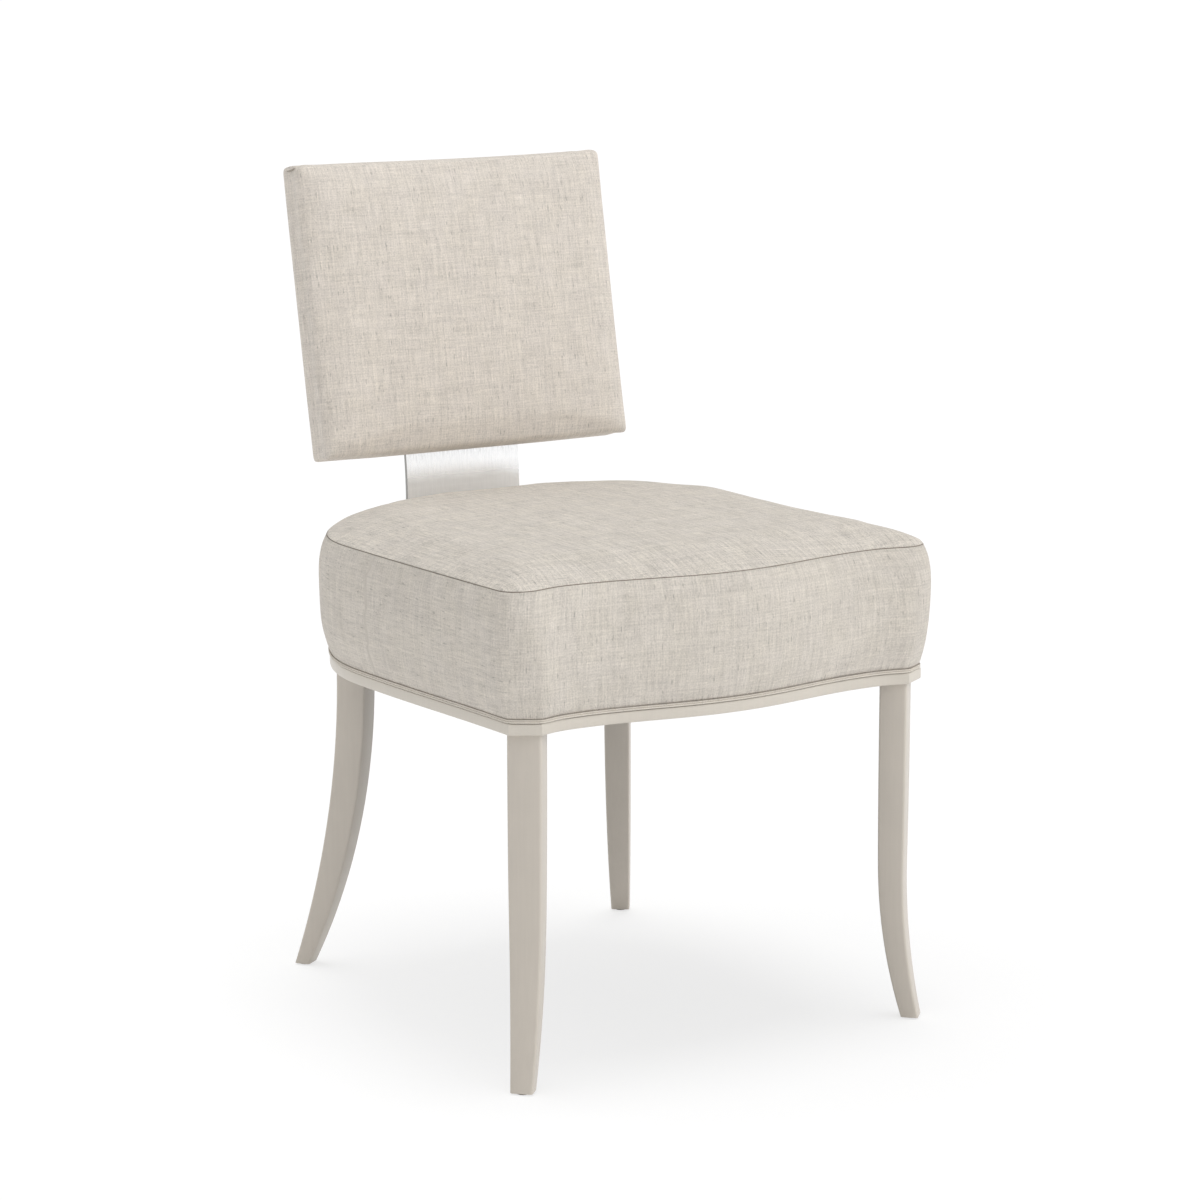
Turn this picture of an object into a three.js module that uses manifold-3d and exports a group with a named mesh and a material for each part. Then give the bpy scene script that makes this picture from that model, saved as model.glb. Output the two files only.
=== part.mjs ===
// Klismos dining chair: a painted hardwood seat frame on four sabre legs, a boxed upholstered
// seat, and a floating upholstered back carried by one wide strap of brushed stainless steel.
// Millimetres, +Z up. The sitter faces -Y. The origin is on the floor, under the middle.
import * as THREE from 'three';
import { mergeVertices } from 'three/addons/utils/BufferGeometryUtils.js';
import Module from 'manifold-3d';

const wasm = await Module();
wasm.setup();

// Clearances and cutting allowance
const fit = 0.3;
const softFit = 0.9;
const overrun = 2;

// Heights: the frame above the floor, and each stage above the one below it
const frameUnderside = 357;
const lipHeight = 11.8;
const railHeight = 68;
const boxingHeight = 128.7;

// Plan of the show-wood lip: its reach to the side, front and back, and how far each knot lies
// in from the side and set back from the front or the rear
const lipHalfWidth = 257;
const lipFront = 256.5;
const lipBack = 290;
const lipHollowIn = 81;
const lipHollowSetback = 20.5;
const lipInnerCornerIn = 38;
const lipInnerCornerSetback = 12.5;
const lipOuterCornerIn = 10.5;
const lipOuterCornerSetback = 29.5;
const lipWidestBack = 55;
const lipRearCornerIn = 67;
const lipRearCornerSetback = 58;

// Plan of the seam that joins the top panel to the boxing: how far each knot lies outside the
// lip's knot, and how far it is set back from it
const seamFrontSetback = 2;
const seamHollowOut = 8;
const seamHollowSetback = 6.5;
const seamInnerCornerOut = 2;
const seamInnerCornerSetback = 7;
const seamOuterCornerOut = 5.5;
const seamOuterCornerSetback = 9;
const seamOverhang = 1.5;
const seamWidestBack = 76;
const seamRearCornerIn = 4;
const seamRearCornerSetback = 17;
const seamBackSetback = 6;

// Seat rails
const railRecess = 11;
const railThickness = 22;
const lipEase = 1.6;

// Corner blocks and leg bolts
const blockHeight = 44;
const blockReach = 46;
const blockSpread = 62;
const legBoltRadius = 4;
const legBoltHeadRadius = 7.5;
const legBoltHeadHeight = 5;

// Front legs: how far the top lies in from the lip, section at the top and at the floor, and
// the kick, which starts at a share of the leg's height
const frontLegIn = 36.5;
const frontLegSetback = 38;
const frontLegTurn = 45;
const frontLegTopWidth = 34;
const frontLegTopDepth = 28;
const frontLegFootWidth = 22.5;
const frontLegFootDepth = 18;
const frontKickShare = 0.462;
const frontKickRadius = 635;

// Rear legs
const rearLegIn = 91;
const rearLegSetback = 65.5;
const rearLegTurn = 53.8;
const rearLegTopWidth = 28.5;
const rearLegTopDepth = 33;
const rearLegFootWidth = 20.5;
const rearLegFootDepth = 17;
const rearKickShare = 0.91;
const rearKickRadius = 845;

// Every leg
const legArris = 2.6;
const tenonWidth = 18;
const tenonDepth = 13;
const tenonHeight = 54;
const tenonSetback = 3.5;

// Floor glides
const glideRadius = 6.5;
const glideThickness = 1.6;
const glidePinRadius = 2;
const glidePinLength = 12;

// Webbing across the seat frame
const webWidth = 58;
const webThickness = 1.5;
const webSpacing = 92;
const webWeave = 1.9;

// Seat upholstery
const fabric = 1.5;
const boxingSetback = 1.2;
const boxingBulge = 8.8;
const edgeRise = 12.2;
const edgeRoll = 40;
const seatCrown = 8;
const seamTuck = 0.8;
const bandHeight = 4.2;
const bandThickness = 2.2;
const dustCoverThickness = 0.8;
const dustCoverInset = 15;
const notchClearance = 0.9;

// Steel strap
const strapWidth = 141.5;
const strapThickness = 4.8;
const strapSetback = 13.7;
const strapBendRadius = 414;
const strapTopLength = 172;
const strapCorner = 9;

// Strap bolts
const boltRadius = 3;
const boltHeadRadius = 7;
const boltHeadHeight = 3.6;
const lowerBoltLength = 24;
const upperBoltLength = 22;
const boltSpreadX = 92;
const lowerBoltUp = 35;
const boltSpreadZ = 20;
const upperBoltUp = 62;
const upperBoltSpread = 78;

// Upholstered back: width, height and thickness along its own slope
const backLean = 11.13;
const backClearance = 40.6;
const backHeight = 315;
const backTopHalfWidth = 187;
const backBottomHalfWidth = 187;
const backThickness = 44.5;
const backCorner = 4.5;
const backInnerCorner = 1.8;
const backEdgeRoll = 5.5;
const backFrontCrown = 8.5;
const backRearCrown = 2.8;
const backTopDip = 2;
const coreThickness = 15;
const coreSetback = 12;
const backPanelThickness = 2.4;

// Paint, cloth and metal
const paint = new THREE.MeshStandardMaterial({ color: 0xc3bbae, roughness: 0.42, metalness: 0.15 });
const timber = new THREE.MeshStandardMaterial({ color: 0xb08d62, roughness: 0.8 });
const ply = new THREE.MeshStandardMaterial({ color: 0xc2a578, roughness: 0.8 });
const cloth = new THREE.MeshStandardMaterial({ color: 0xd3cbc0, roughness: 0.95 });
const foam = new THREE.MeshStandardMaterial({ color: 0xe9e2c8, roughness: 1 });
const wadding = new THREE.MeshStandardMaterial({ color: 0xf2f0ea, roughness: 1 });
const webbing = new THREE.MeshStandardMaterial({ color: 0x3c3a36, roughness: 0.95 });
const lining = new THREE.MeshStandardMaterial({ color: 0x1b1b1b, roughness: 1 });
const steel = new THREE.MeshStandardMaterial({ color: 0xd5d5d3, roughness: 0.3, metalness: 1 });
const zinc = new THREE.MeshStandardMaterial({ color: 0xa9abad, roughness: 0.45, metalness: 1 });
const nylon = new THREE.MeshStandardMaterial({ color: 0x8d857a, roughness: 0.6 });

const chair = new THREE.Group();

// Counts that set how finely round forms are cut
const roundSides = 12;
const hexSides = 6;
const outlineSteps = 6;
const curveSteps = 5;

const radians = THREE.MathUtils.degToRad;

// Adds one named piece to a group; each piece has its own material.
function addPiece(name, geometry, material, parent = chair) {
  const mesh = new THREE.Mesh(geometry, material.clone());
  mesh.name = name;
  parent.add(mesh);
  return mesh;
}

// Solids for joining and cutting
function solidOf(geometry) {
  const bare = geometry.clone();
  bare.deleteAttribute('normal');
  bare.deleteAttribute('uv');
  const merged = mergeVertices(bare);
  const count = merged.attributes.position.count;
  const corners = merged.index ? merged.index.array : { length: count };
  const triVerts = Uint32Array.from(corners, (corner, i) => corner ?? i);
  return new wasm.Manifold(new wasm.Mesh({
    numProp: 3,
    vertProperties: Float32Array.from(merged.attributes.position.array),
    triVerts,
  }));
}

function geometryOf(solid) {
  const mesh = solid.getMesh();
  const geometry = new THREE.BufferGeometry();
  const places = Float32Array.from(mesh.vertProperties);
  geometry.setAttribute('position', new THREE.BufferAttribute(places, mesh.numProp));
  geometry.setIndex(new THREE.BufferAttribute(Uint32Array.from(mesh.triVerts), 1));
  geometry.computeVertexNormals();
  return geometry;
}

function cut(geometry, ...tools) {
  return geometryOf(tools.reduce((body, tool) => body.subtract(solidOf(tool)), solidOf(geometry)));
}

function join(...geometries) {
  return geometryOf(geometries.map(solidOf).reduce((body, other) => body.add(other)));
}

function keepInside(geometry, tool) {
  return geometryOf(solidOf(geometry).intersect(solidOf(tool)));
}

// A closed geometry from points and triangles, turned so that its faces point outwards.
function closedGeometry(points, triangles) {
  let volume = 0;
  for (const [a, b, c] of triangles) {
    volume += points[a].dot(new THREE.Vector3().crossVectors(points[b], points[c]));
  }
  const index = volume < 0 ? triangles.map(([a, b, c]) => [a, c, b]) : triangles;
  const geometry = new THREE.BufferGeometry().setFromPoints(points);
  geometry.setIndex(index.flat());
  geometry.computeVertexNormals();
  return geometry;
}

// Joins closed rings of equal count into one skin. A pole closes an end with a fan; without
// poles the last ring joins the first again, which makes a hollow sleeve.
function ringSkin(rings, firstPole, lastPole) {
  const points = rings.flat();
  const around = rings[0].length;
  const triangles = [];
  const bands = firstPole || lastPole ? rings.length - 1 : rings.length;
  for (let band = 0; band < bands; band += 1) {
    const next = (band + 1) % rings.length;
    for (let i = 0; i < around; i += 1) {
      const j = (i + 1) % around;
      triangles.push([band * around + i, band * around + j, next * around + j]);
      triangles.push([band * around + i, next * around + j, next * around + i]);
    }
  }
  const fan = (pole, ring, turned) => {
    points.push(pole);
    for (let i = 0; i < around; i += 1) {
      const j = (i + 1) % around;
      const edge = [ring * around + i, ring * around + j];
      if (turned) edge.reverse();
      triangles.push([points.length - 1, ...edge]);
    }
  };
  if (firstPole) fan(firstPole, 0, true);
  if (lastPole) fan(lastPole, rings.length - 1, false);
  return closedGeometry(points, triangles);
}

// A bar lofted through open sections, flat at both ends.
function loftBar(sections) {
  const middle = (section) => section.reduce((sum, p) => sum.add(p), new THREE.Vector3())
    .divideScalar(section.length);
  return ringSkin(sections, middle(sections[0]), middle(sections.at(-1)));
}

function extrudeBetween(shape, low, high) {
  const settings = { depth: high - low, bevelEnabled: false, curveSegments: curveSteps };
  const geometry = new THREE.ExtrudeGeometry(shape, settings);
  geometry.translate(0, 0, low);
  return geometry;
}

function shapeOf(outline, hole) {
  const shape = new THREE.Shape(outline);
  if (hole) shape.holes.push(new THREE.Path(hole));
  return shape;
}

// A rod or disc along an axis, from one end's place to the other's distance.
function rodAlong(start, direction, length, radius, sides = roundSides) {
  const geometry = new THREE.CylinderGeometry(radius, radius, length, sides);
  const turn = new THREE.Quaternion().setFromUnitVectors(new THREE.Vector3(0, 1, 0), direction);
  geometry.translate(0, length / 2, 0);
  geometry.applyQuaternion(turn);
  geometry.translate(start.x, start.y, start.z);
  return geometry;
}

// Seat plan: smooth curves between knots. Each knot has its heading in degrees, on arriving
// and on leaving, and the handles are shares of the distance between the knots.
const handleShare = 0.38;

function planOutline(plan) {
  const knots = [
    [0, -plan.front, 0, 0],
    [plan.hollowX, -plan.hollowFront, 0, 0],
    [plan.innerCornerX, -plan.innerCornerFront, plan.innerArrive, plan.innerLeave],
    [plan.outerCornerX, -plan.outerCornerFront, plan.outerArrive, plan.outerLeave],
    [plan.halfWidth, plan.widestBack, 90, 90],
    [plan.rearCornerX, plan.rearCornerBack, plan.rearArrive, plan.rearLeave],
    [0, plan.back, 180, 180],
  ];
  const half = [];
  for (let k = 0; k + 1 < knots.length; k += 1) {
    const from = new THREE.Vector2(knots[k][0], knots[k][1]);
    const to = new THREE.Vector2(knots[k + 1][0], knots[k + 1][1]);
    const reach = from.distanceTo(to) * handleShare;
    const leave = radians(knots[k][3]);
    const arrive = radians(knots[k + 1][2]);
    const curve = new THREE.CubicBezierCurve(
      from,
      new THREE.Vector2(from.x + reach * Math.cos(leave), from.y + reach * Math.sin(leave)),
      new THREE.Vector2(to.x - reach * Math.cos(arrive), to.y - reach * Math.sin(arrive)),
      to,
    );
    const steps = k === 1 || k === 2 ? plan.cornerSteps : outlineSteps;
    half.push(...curve.getPoints(steps).slice(0, -1));
  }
  const mirrored = half.slice(1).reverse().map((p) => new THREE.Vector2(-p.x, p.y));
  return [...half, new THREE.Vector2(0, plan.back), ...mirrored];
}

const cornerSteps = 3;
const lipPlan = {
  front: lipFront,
  hollowX: lipHalfWidth - lipHollowIn,
  hollowFront: lipFront - lipHollowSetback,
  innerCornerX: lipHalfWidth - lipInnerCornerIn,
  innerCornerFront: lipFront - lipInnerCornerSetback,
  innerArrive: -22,
  innerLeave: 31,
  outerCornerX: lipHalfWidth - lipOuterCornerIn,
  outerCornerFront: lipFront - lipOuterCornerSetback,
  outerArrive: 31,
  outerLeave: 89,
  halfWidth: lipHalfWidth,
  widestBack: lipWidestBack,
  rearCornerX: lipHalfWidth - lipRearCornerIn,
  rearCornerBack: lipBack - lipRearCornerSetback,
  rearArrive: 121,
  rearLeave: 136,
  back: lipBack,
  cornerSteps,
};
const seamPlan = {
  front: lipPlan.front - seamFrontSetback,
  hollowX: lipPlan.hollowX + seamHollowOut,
  hollowFront: lipPlan.hollowFront - seamHollowSetback,
  innerCornerX: lipPlan.innerCornerX + seamInnerCornerOut,
  innerCornerFront: lipPlan.innerCornerFront - seamInnerCornerSetback,
  innerArrive: -12,
  innerLeave: -6,
  outerCornerX: lipPlan.outerCornerX + seamOuterCornerOut,
  outerCornerFront: lipPlan.outerCornerFront - seamOuterCornerSetback,
  outerArrive: 84,
  outerLeave: 88,
  halfWidth: lipPlan.halfWidth + seamOverhang,
  widestBack: seamWidestBack,
  rearCornerX: lipPlan.rearCornerX - seamRearCornerIn,
  rearCornerBack: lipPlan.rearCornerBack - seamRearCornerSetback,
  rearArrive: 136,
  rearLeave: 136,
  back: lipPlan.back - seamBackSetback,
  cornerSteps,
};

const lipOutline = planOutline(lipPlan);
const seamOutline = planOutline(seamPlan);
const planMiddle = (lipBack - lipFront) / 2;
const planHalfDepth = (lipBack + lipFront) / 2;

// Draws an outline in towards the middle of the plan, by the same distance at sides and ends.
function drawnIn(outline, inset, flat = Infinity) {
  return outline.map((p) => new THREE.Vector2(
    p.x * (1 - inset / lipHalfWidth),
    Math.min(planMiddle + (p.y - planMiddle) * (1 - inset / planHalfDepth), flat),
  ));
}

// The rear of the seat is flat where the strap lies on it.
const strapFront = lipBack - strapSetback;
const strapSeat = strapFront - fit;
const lipTop = frameUnderside + lipHeight;
const seamHeight = lipTop + boxingHeight;
const railTop = frameUnderside + railHeight;
const railFlat = strapSeat - fabric - fit;
const lipInset = railRecess + railThickness;
const recessOutline = drawnIn(lipOutline, railRecess, railFlat);
const innerOutline = drawnIn(lipOutline, lipInset, railFlat - railThickness);

// Leg places: each leg has its plan place, its outward direction and its own sizes.
function legSpec(side, end) {
  const front = end === 'front';
  const turn = radians(front ? frontLegTurn : rearLegTurn);
  const x = side * (lipHalfWidth - (front ? frontLegIn : rearLegIn));
  const y = front ? frontLegSetback - lipFront : lipBack - rearLegSetback;
  return {
    name: `${end}_${side < 0 ? 'left' : 'right'}`,
    place: new THREE.Vector3(x, y, 0),
    out: new THREE.Vector3(side * Math.cos(turn), (front ? -1 : 1) * Math.sin(turn), 0),
    topWidth: front ? frontLegTopWidth : rearLegTopWidth,
    topDepth: front ? frontLegTopDepth : rearLegTopDepth,
    footWidth: front ? frontLegFootWidth : rearLegFootWidth,
    footDepth: front ? frontLegFootDepth : rearLegFootDepth,
    kickHeight: frameUnderside * (front ? frontKickShare : rearKickShare),
    kickRadius: front ? frontKickRadius : rearKickRadius,
  };
}
const legs = [legSpec(-1, 'front'), legSpec(1, 'front'), legSpec(-1, 'rear'), legSpec(1, 'rear')];

const up = new THREE.Vector3(0, 0, 1);
const acrossOf = (leg) => new THREE.Vector3().crossVectors(up, leg.out);

// A point beside a leg's top: out from the place, across it, and at a height.
function besideLeg(leg, out, across, height) {
  const p = leg.place.clone().addScaledVector(leg.out, out).addScaledVector(acrossOf(leg), across);
  return p.setZ(height);
}

// A block standing square to a leg.
function legBlock(leg, outFrom, outTo, width, low, high) {
  const corners = [[outFrom, -width / 2], [outTo, -width / 2], [outTo, width / 2], [outFrom, width / 2]];
  const outline = corners.map(([out, across]) => {
    const p = besideLeg(leg, out, across, 0);
    return new THREE.Vector2(p.x, p.y);
  });
  if (THREE.ShapeUtils.isClockWise(outline)) outline.reverse();
  return extrudeBetween(shapeOf(outline), low, high);
}

// Sabre legs: a rectangular section with eased arrises. It thins quickly near the floor and
// kicks outwards along an arc that starts upright.
const tenonOuter = tenonDepth / 2 - tenonSetback;
const tenonInner = -tenonDepth / 2 - tenonSetback;
const arrisSteps = 2;
const legSections = 13;
const thinningPower = 3;

function legSection(leg, height) {
  const rise = height / frameUnderside;
  const share = 1 - (1 - rise) ** thinningPower;
  const width = leg.footWidth + (leg.topWidth - leg.footWidth) * share;
  const depth = leg.footDepth + (leg.topDepth - leg.footDepth) * share;
  const drop = Math.max(leg.kickHeight - height, 0);
  const kick = leg.kickRadius - Math.sqrt(leg.kickRadius ** 2 - drop ** 2);
  const section = [];
  for (const [sx, sy, start] of [[1, 1, 0], [-1, 1, 90], [-1, -1, 180], [1, -1, 270]]) {
    for (let i = 0; i <= arrisSteps; i += 1) {
      const angle = radians(start + (90 * i) / arrisSteps);
      const out = sx * (depth / 2 - legArris) + legArris * Math.cos(angle);
      const across = sy * (width / 2 - legArris) + legArris * Math.sin(angle);
      section.push(besideLeg(leg, kick + out, across, height));
    }
  }
  return section;
}

function legBody(leg) {
  const sections = [];
  for (let i = 0; i <= legSections; i += 1) {
    const share = i / legSections;
    sections.push(legSection(leg, glideThickness + (frameUnderside - glideThickness) * share));
  }
  const body = loftBar(sections);
  const tenonTop = frameUnderside + tenonHeight;
  const tenon = legBlock(leg, tenonInner, tenonOuter, tenonWidth, frameUnderside - overrun, tenonTop);
  return join(body, tenon);
}

const boltHeight = frameUnderside + tenonHeight / 2 + overrun;
const blockLow = railTop - blockHeight - fit;

// The bolt runs from inside the corner block, through the rails, into the tenon.
function legBoltPath(leg, radius, from, to) {
  return rodAlong(besideLeg(leg, from, 0, boltHeight), leg.out, to - from, radius);
}

function makeLeg(leg) {
  const pinDepth = glideThickness + glidePinLength + fit;
  const pinHole = rodAlong(glidePlace(leg), up, pinDepth, glidePinRadius + fit);
  const boltHole = legBoltPath(leg, legBoltRadius + fit, tenonInner - overrun, tenonOuter - overrun);
  addPiece(`${leg.name}_leg`, cut(legBody(leg), pinHole, boltHole), paint);
}

// Floor glide: a disc under the foot with a pin driven up into it.
function glidePlace(leg) {
  const kick = leg.kickRadius - Math.sqrt(leg.kickRadius ** 2 - leg.kickHeight ** 2);
  return besideLeg(leg, kick, 0, 0);
}

function makeGlide(leg) {
  const profile = [
    [0, 0], [glideRadius, 0], [glideRadius, glideThickness - fit], [glidePinRadius, glideThickness - fit],
    [glidePinRadius, glideThickness + glidePinLength - fit], [0, glideThickness + glidePinLength - fit],
  ].map(([r, z]) => new THREE.Vector2(r, z));
  const glide = new THREE.LatheGeometry(profile, roundSides);
  glide.rotateX(Math.PI / 2);
  const place = glidePlace(leg);
  glide.translate(place.x, place.y, place.z);
  addPiece(`${leg.name}_glide`, glide, nylon);
}

// Seat frame: one rabbeted ring of rails, mitred at the legs. The lip shows below the cloth.
function frameRing() {
  const eased = drawnIn(lipOutline, lipEase / 2);
  const lipSkin = [
    [eased, frameUnderside],
    [lipOutline, frameUnderside + lipEase],
    [lipOutline, lipTop - lipEase],
    [eased, lipTop],
  ].map(([outline, z]) => outline.map((p) => new THREE.Vector3(p.x, p.y, z)));
  const lipPoles = [frameUnderside, lipTop].map((z) => new THREE.Vector3(0, planMiddle, z));
  const lip = ringSkin(lipSkin, ...lipPoles);
  const upper = extrudeBetween(shapeOf(recessOutline), lipTop - overrun, railTop);
  const well = extrudeBetween(shapeOf(innerOutline), frameUnderside - overrun, railTop + overrun);
  return cut(join(lip, upper), well);
}

// The quarter of the plan between two mitres.
function railQuarter(from, to) {
  const reachOut = lipHalfWidth;
  const reachIn = lipInset * 2;
  const edge = (leg, side) => {
    const other = side < 0 ? to : from;
    const along = acrossOf(leg);
    const away = Math.sign(along.dot(other.place.clone().sub(leg.place)));
    return [-reachIn, reachOut].map((out) => {
      const p = besideLeg(leg, out, (away * fit) / 2, 0);
      return new THREE.Vector2(p.x, p.y);
    });
  };
  const [fromIn, fromOut] = edge(from, -1);
  const [toIn, toOut] = edge(to, 1);
  const outline = [fromIn, fromOut, toOut, toIn];
  if (THREE.ShapeUtils.isClockWise(outline)) outline.reverse();
  return extrudeBetween(shapeOf(outline), frameUnderside - overrun, railTop + overrun);
}

function legSocket(leg) {
  return legBlock(
    leg,
    tenonInner - fit,
    tenonOuter + fit,
    tenonWidth + fit * 2,
    frameUnderside - overrun,
    frameUnderside + tenonHeight + fit,
  );
}

const boltPattern = [[-1, 0], [1, 0], [-1, 1], [1, 1]];
const lowerBolts = boltPattern.map(([side, row]) => new THREE.Vector3(
  (side * boltSpreadX) / 2,
  strapFront + strapThickness,
  frameUnderside + lowerBoltUp + row * boltSpreadZ,
));
const forward = new THREE.Vector3(0, -1, 0);
const lowerBoltHoles = lowerBolts.map((p) => (
  rodAlong(p.clone().setY(p.y + overrun), forward, lowerBoltLength + overrun + fit, boltRadius + fit)));

function makeRails() {
  const ring = frameRing();
  const sockets = legs.map(legSocket);
  const boltWays = legs.map((leg) => legBoltPath(leg, legBoltRadius + fit, -blockReach, tenonOuter));
  const [frontLeft, frontRight, rearLeft, rearRight] = legs;
  const rails = [
    ['front_rail', frontLeft, frontRight],
    ['left_side_rail', frontLeft, rearLeft],
    ['right_side_rail', frontRight, rearRight],
    ['rear_rail', rearLeft, rearRight],
  ];
  for (const [name, from, to] of rails) {
    const blank = keepInside(ring, railQuarter(from, to));
    const holes = name === 'rear_rail' ? lowerBoltHoles : [];
    addPiece(name, cut(blank, ...sockets, ...boltWays, ...holes), paint);
  }
}

// Corner blocks fill the inside of each mitre and carry the leg bolt.
function makeCornerBlock(leg) {
  const slab = legBlock(leg, -blockReach, 0, blockSpread * 2, blockLow, railTop - fit);
  const inside = drawnIn(lipOutline, lipInset + fit, railFlat - railThickness - fit);
  const room = extrudeBetween(shapeOf(inside), blockLow - overrun, railTop);
  const boltWay = legBoltPath(leg, legBoltRadius + fit, -blockReach - overrun, overrun);
  addPiece(`${leg.name}_corner_block`, cut(keepInside(slab, room), boltWay), timber);
}

function makeLegBolt(leg) {
  const shank = legBoltPath(leg, legBoltRadius, -blockReach - fit - overrun, tenonOuter - overrun - fit);
  const head = rodAlong(
    besideLeg(leg, -blockReach - fit - legBoltHeadHeight, 0, boltHeight),
    leg.out,
    legBoltHeadHeight,
    legBoltHeadRadius,
    hexSides,
  );
  addPiece(`${leg.name}_leg_bolt`, join(shank, head), zinc);
}

// Webbing: straps woven over and under each other, stretched over the rails' top edges.
const webLevel = railTop + fit + webThickness / 2;
const webSteps = 22;

function webWave(along, crossings, startSign) {
  const first = crossings[0];
  const pitch = crossings[1] - first;
  const last = crossings.at(-1);
  const inside = along > first - pitch / 2 && along < last + pitch / 2;
  return inside ? startSign * webWeave * Math.cos((Math.PI * (along - first)) / pitch) : 0;
}

function webStrap(name, lengthwise, offset, from, to, crossings, startSign) {
  const sections = [];
  for (let i = 0; i <= webSteps; i += 1) {
    const along = from + ((to - from) * i) / webSteps;
    const middle = webLevel + webWave(along, crossings, startSign);
    const corners = [[-1, -1], [1, -1], [1, 1], [-1, 1]].map(([side, level]) => {
      const across = offset + (side * webWidth) / 2;
      const z = middle + (level * webThickness) / 2;
      return lengthwise ? new THREE.Vector3(across, along, z) : new THREE.Vector3(along, across, z);
    });
    sections.push(corners);
  }
  addPiece(name, loftBar(sections), webbing);
}

// Where an outline crosses a line at a fixed distance from the middle, seen along the other axis.
function outlineReach(outline, axis, offset, side) {
  const other = axis === 'x' ? 'y' : 'x';
  let reach = 0;
  outline.forEach((p, i) => {
    const q = outline[(i + 1) % outline.length];
    const crosses = (p[other] - offset) * (q[other] - offset) <= 0 && p[other] !== q[other];
    if (!crosses) return;
    const share = (offset - p[other]) / (q[other] - p[other]);
    const at = p[axis] + (q[axis] - p[axis]) * share;
    if (at * side > reach) reach = at * side;
  });
  return reach * side;
}

function makeWebbing() {
  const places = [-webSpacing, 0, webSpacing];
  const webEdge = drawnIn(lipOutline, railRecess + railThickness / 2, railFlat);
  const edgeNear = (axis, offset, side) => {
    const spans = [-webWidth / 2, webWidth / 2].map((w) => outlineReach(webEdge, axis, offset + w, side));
    return side * Math.min(...spans.map((s) => s * side));
  };
  places.forEach((x, column) => {
    const sign = column % 2 === 0 ? 1 : -1;
    webStrap(`long_web_${column + 1}`, true, x, edgeNear('y', x, -1), edgeNear('y', x, 1), places, sign);
  });
  places.forEach((y, row) => {
    const sign = row % 2 === 0 ? -1 : 1;
    webStrap(`cross_web_${row + 1}`, false, y, edgeNear('x', y, -1), edgeNear('x', y, 1), places, sign);
  });
}

// Seat upholstery: the boxing swells between the lip and the seam, the top panel rises in a
// soft roll inside the seam and then crowns. One function gives both, at any depth under the
// cloth's outer face.
const boxingOutline = drawnIn(lipOutline, boxingSetback, strapSeat);
const topOutline = seamOutline.map((p) => new THREE.Vector2(p.x, Math.min(p.y, strapSeat)));
const boxingLow = lipTop + fit;
const bulgePower = 2.8;
const tuckPower = 8;
const bulgeSkew = 1.15;
const flatMargin = 32;
const flatSpread = 110;

function outwardAt(outline, i) {
  const before = outline[(i - 1 + outline.length) % outline.length];
  const after = outline[(i + 1) % outline.length];
  return new THREE.Vector2(after.y - before.y, before.x - after.x).normalize();
}

// The strap holds the rear of the boxing flat, and the swell grows beside it.
function swellAt(p) {
  if (p.y < 0) return 1;
  const beside = (Math.abs(p.x) - strapWidth / 2 - flatMargin) / flatSpread;
  return THREE.MathUtils.smoothstep(beside, 0, 1);
}

function boxingPoint(i, share, depth) {
  const low = boxingOutline[i];
  const high = topOutline[i];
  const outward = outwardAt(boxingOutline, i).lerp(outwardAt(topOutline, i), share).normalize();
  const bulge = 1 - Math.abs(2 * share ** bulgeSkew - 1) ** bulgePower;
  const reach = boxingBulge * bulge * swellAt(high) - depth - seamTuck * share ** tuckPower;
  return new THREE.Vector3(
    low.x + (high.x - low.x) * share + outward.x * reach,
    low.y + (high.y - low.y) * share + outward.y * reach,
    boxingLow + (seamHeight - boxingLow) * share,
  );
}

function topPoint(i, drawn, depth) {
  const edge = topOutline[i];
  const outward = outwardAt(topOutline, i);
  const far = Math.hypot(edge.x, edge.y - planMiddle);
  const inset = far * drawn;
  const roll = 1 - Math.min(inset / edgeRoll, 1);
  const rise = edgeRise * Math.sqrt(1 - roll ** 2) + seatCrown * (1 - (1 - drawn) ** 2);
  const tuck = (seamTuck + depth) * roll;
  return new THREE.Vector3(
    edge.x * (1 - drawn) - outward.x * tuck,
    planMiddle + (edge.y - planMiddle) * (1 - drawn) - outward.y * tuck,
    seamHeight + fit + Math.max(rise - depth, 0),
  );
}

const foamFoot = webLevel + webThickness / 2 + webWeave + fit;
const foamFootShare = (foamFoot - boxingLow) / (seamHeight - boxingLow);
const railTopShare = (railTop - boxingLow) / (seamHeight - boxingLow);
const boxingShares = [0, 0.09, 0.24, foamFootShare, 0.66, 0.86, 1];
const topShares = [0, 0.014, 0.05, 0.11, 0.2, 0.4, 0.7];
const around = topOutline.map((_, i) => i);
const crownTop = seamHeight + fit + edgeRise + seatCrown;

function makeSeatCovers() {
  const outerTop = topShares.map((share) => around.map((i) => topPoint(i, share, 0)));
  const innerTop = topShares.map((share) => around.map((i) => topPoint(i, share, fabric))).reverse();
  const topPole = new THREE.Vector3(0, planMiddle, crownTop);
  const underPole = new THREE.Vector3(0, planMiddle, crownTop - fabric);
  addPiece('seat_top_panel', coverSkin(outerTop, topPole, innerTop, underPole), cloth);
  const outer = boxingShares.map((share) => around.map((i) => boxingPoint(i, share, 0)));
  const inner = boxingShares.map((share) => around.map((i) => boxingPoint(i, share, fabric))).reverse();
  addPiece('seat_boxing', cut(ringSkin([...outer, ...inner]), ...lowerBoltHoles), cloth);
}

// A cover: an outer and an inner skin with a pole each, joined at their open edge.
function coverSkin(outerRings, outerPole, innerRings, innerPole) {
  const rings = [...outerRings.slice().reverse(), ...innerRings.slice().reverse()];
  return ringSkin(rings, outerPole, innerPole);
}

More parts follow.
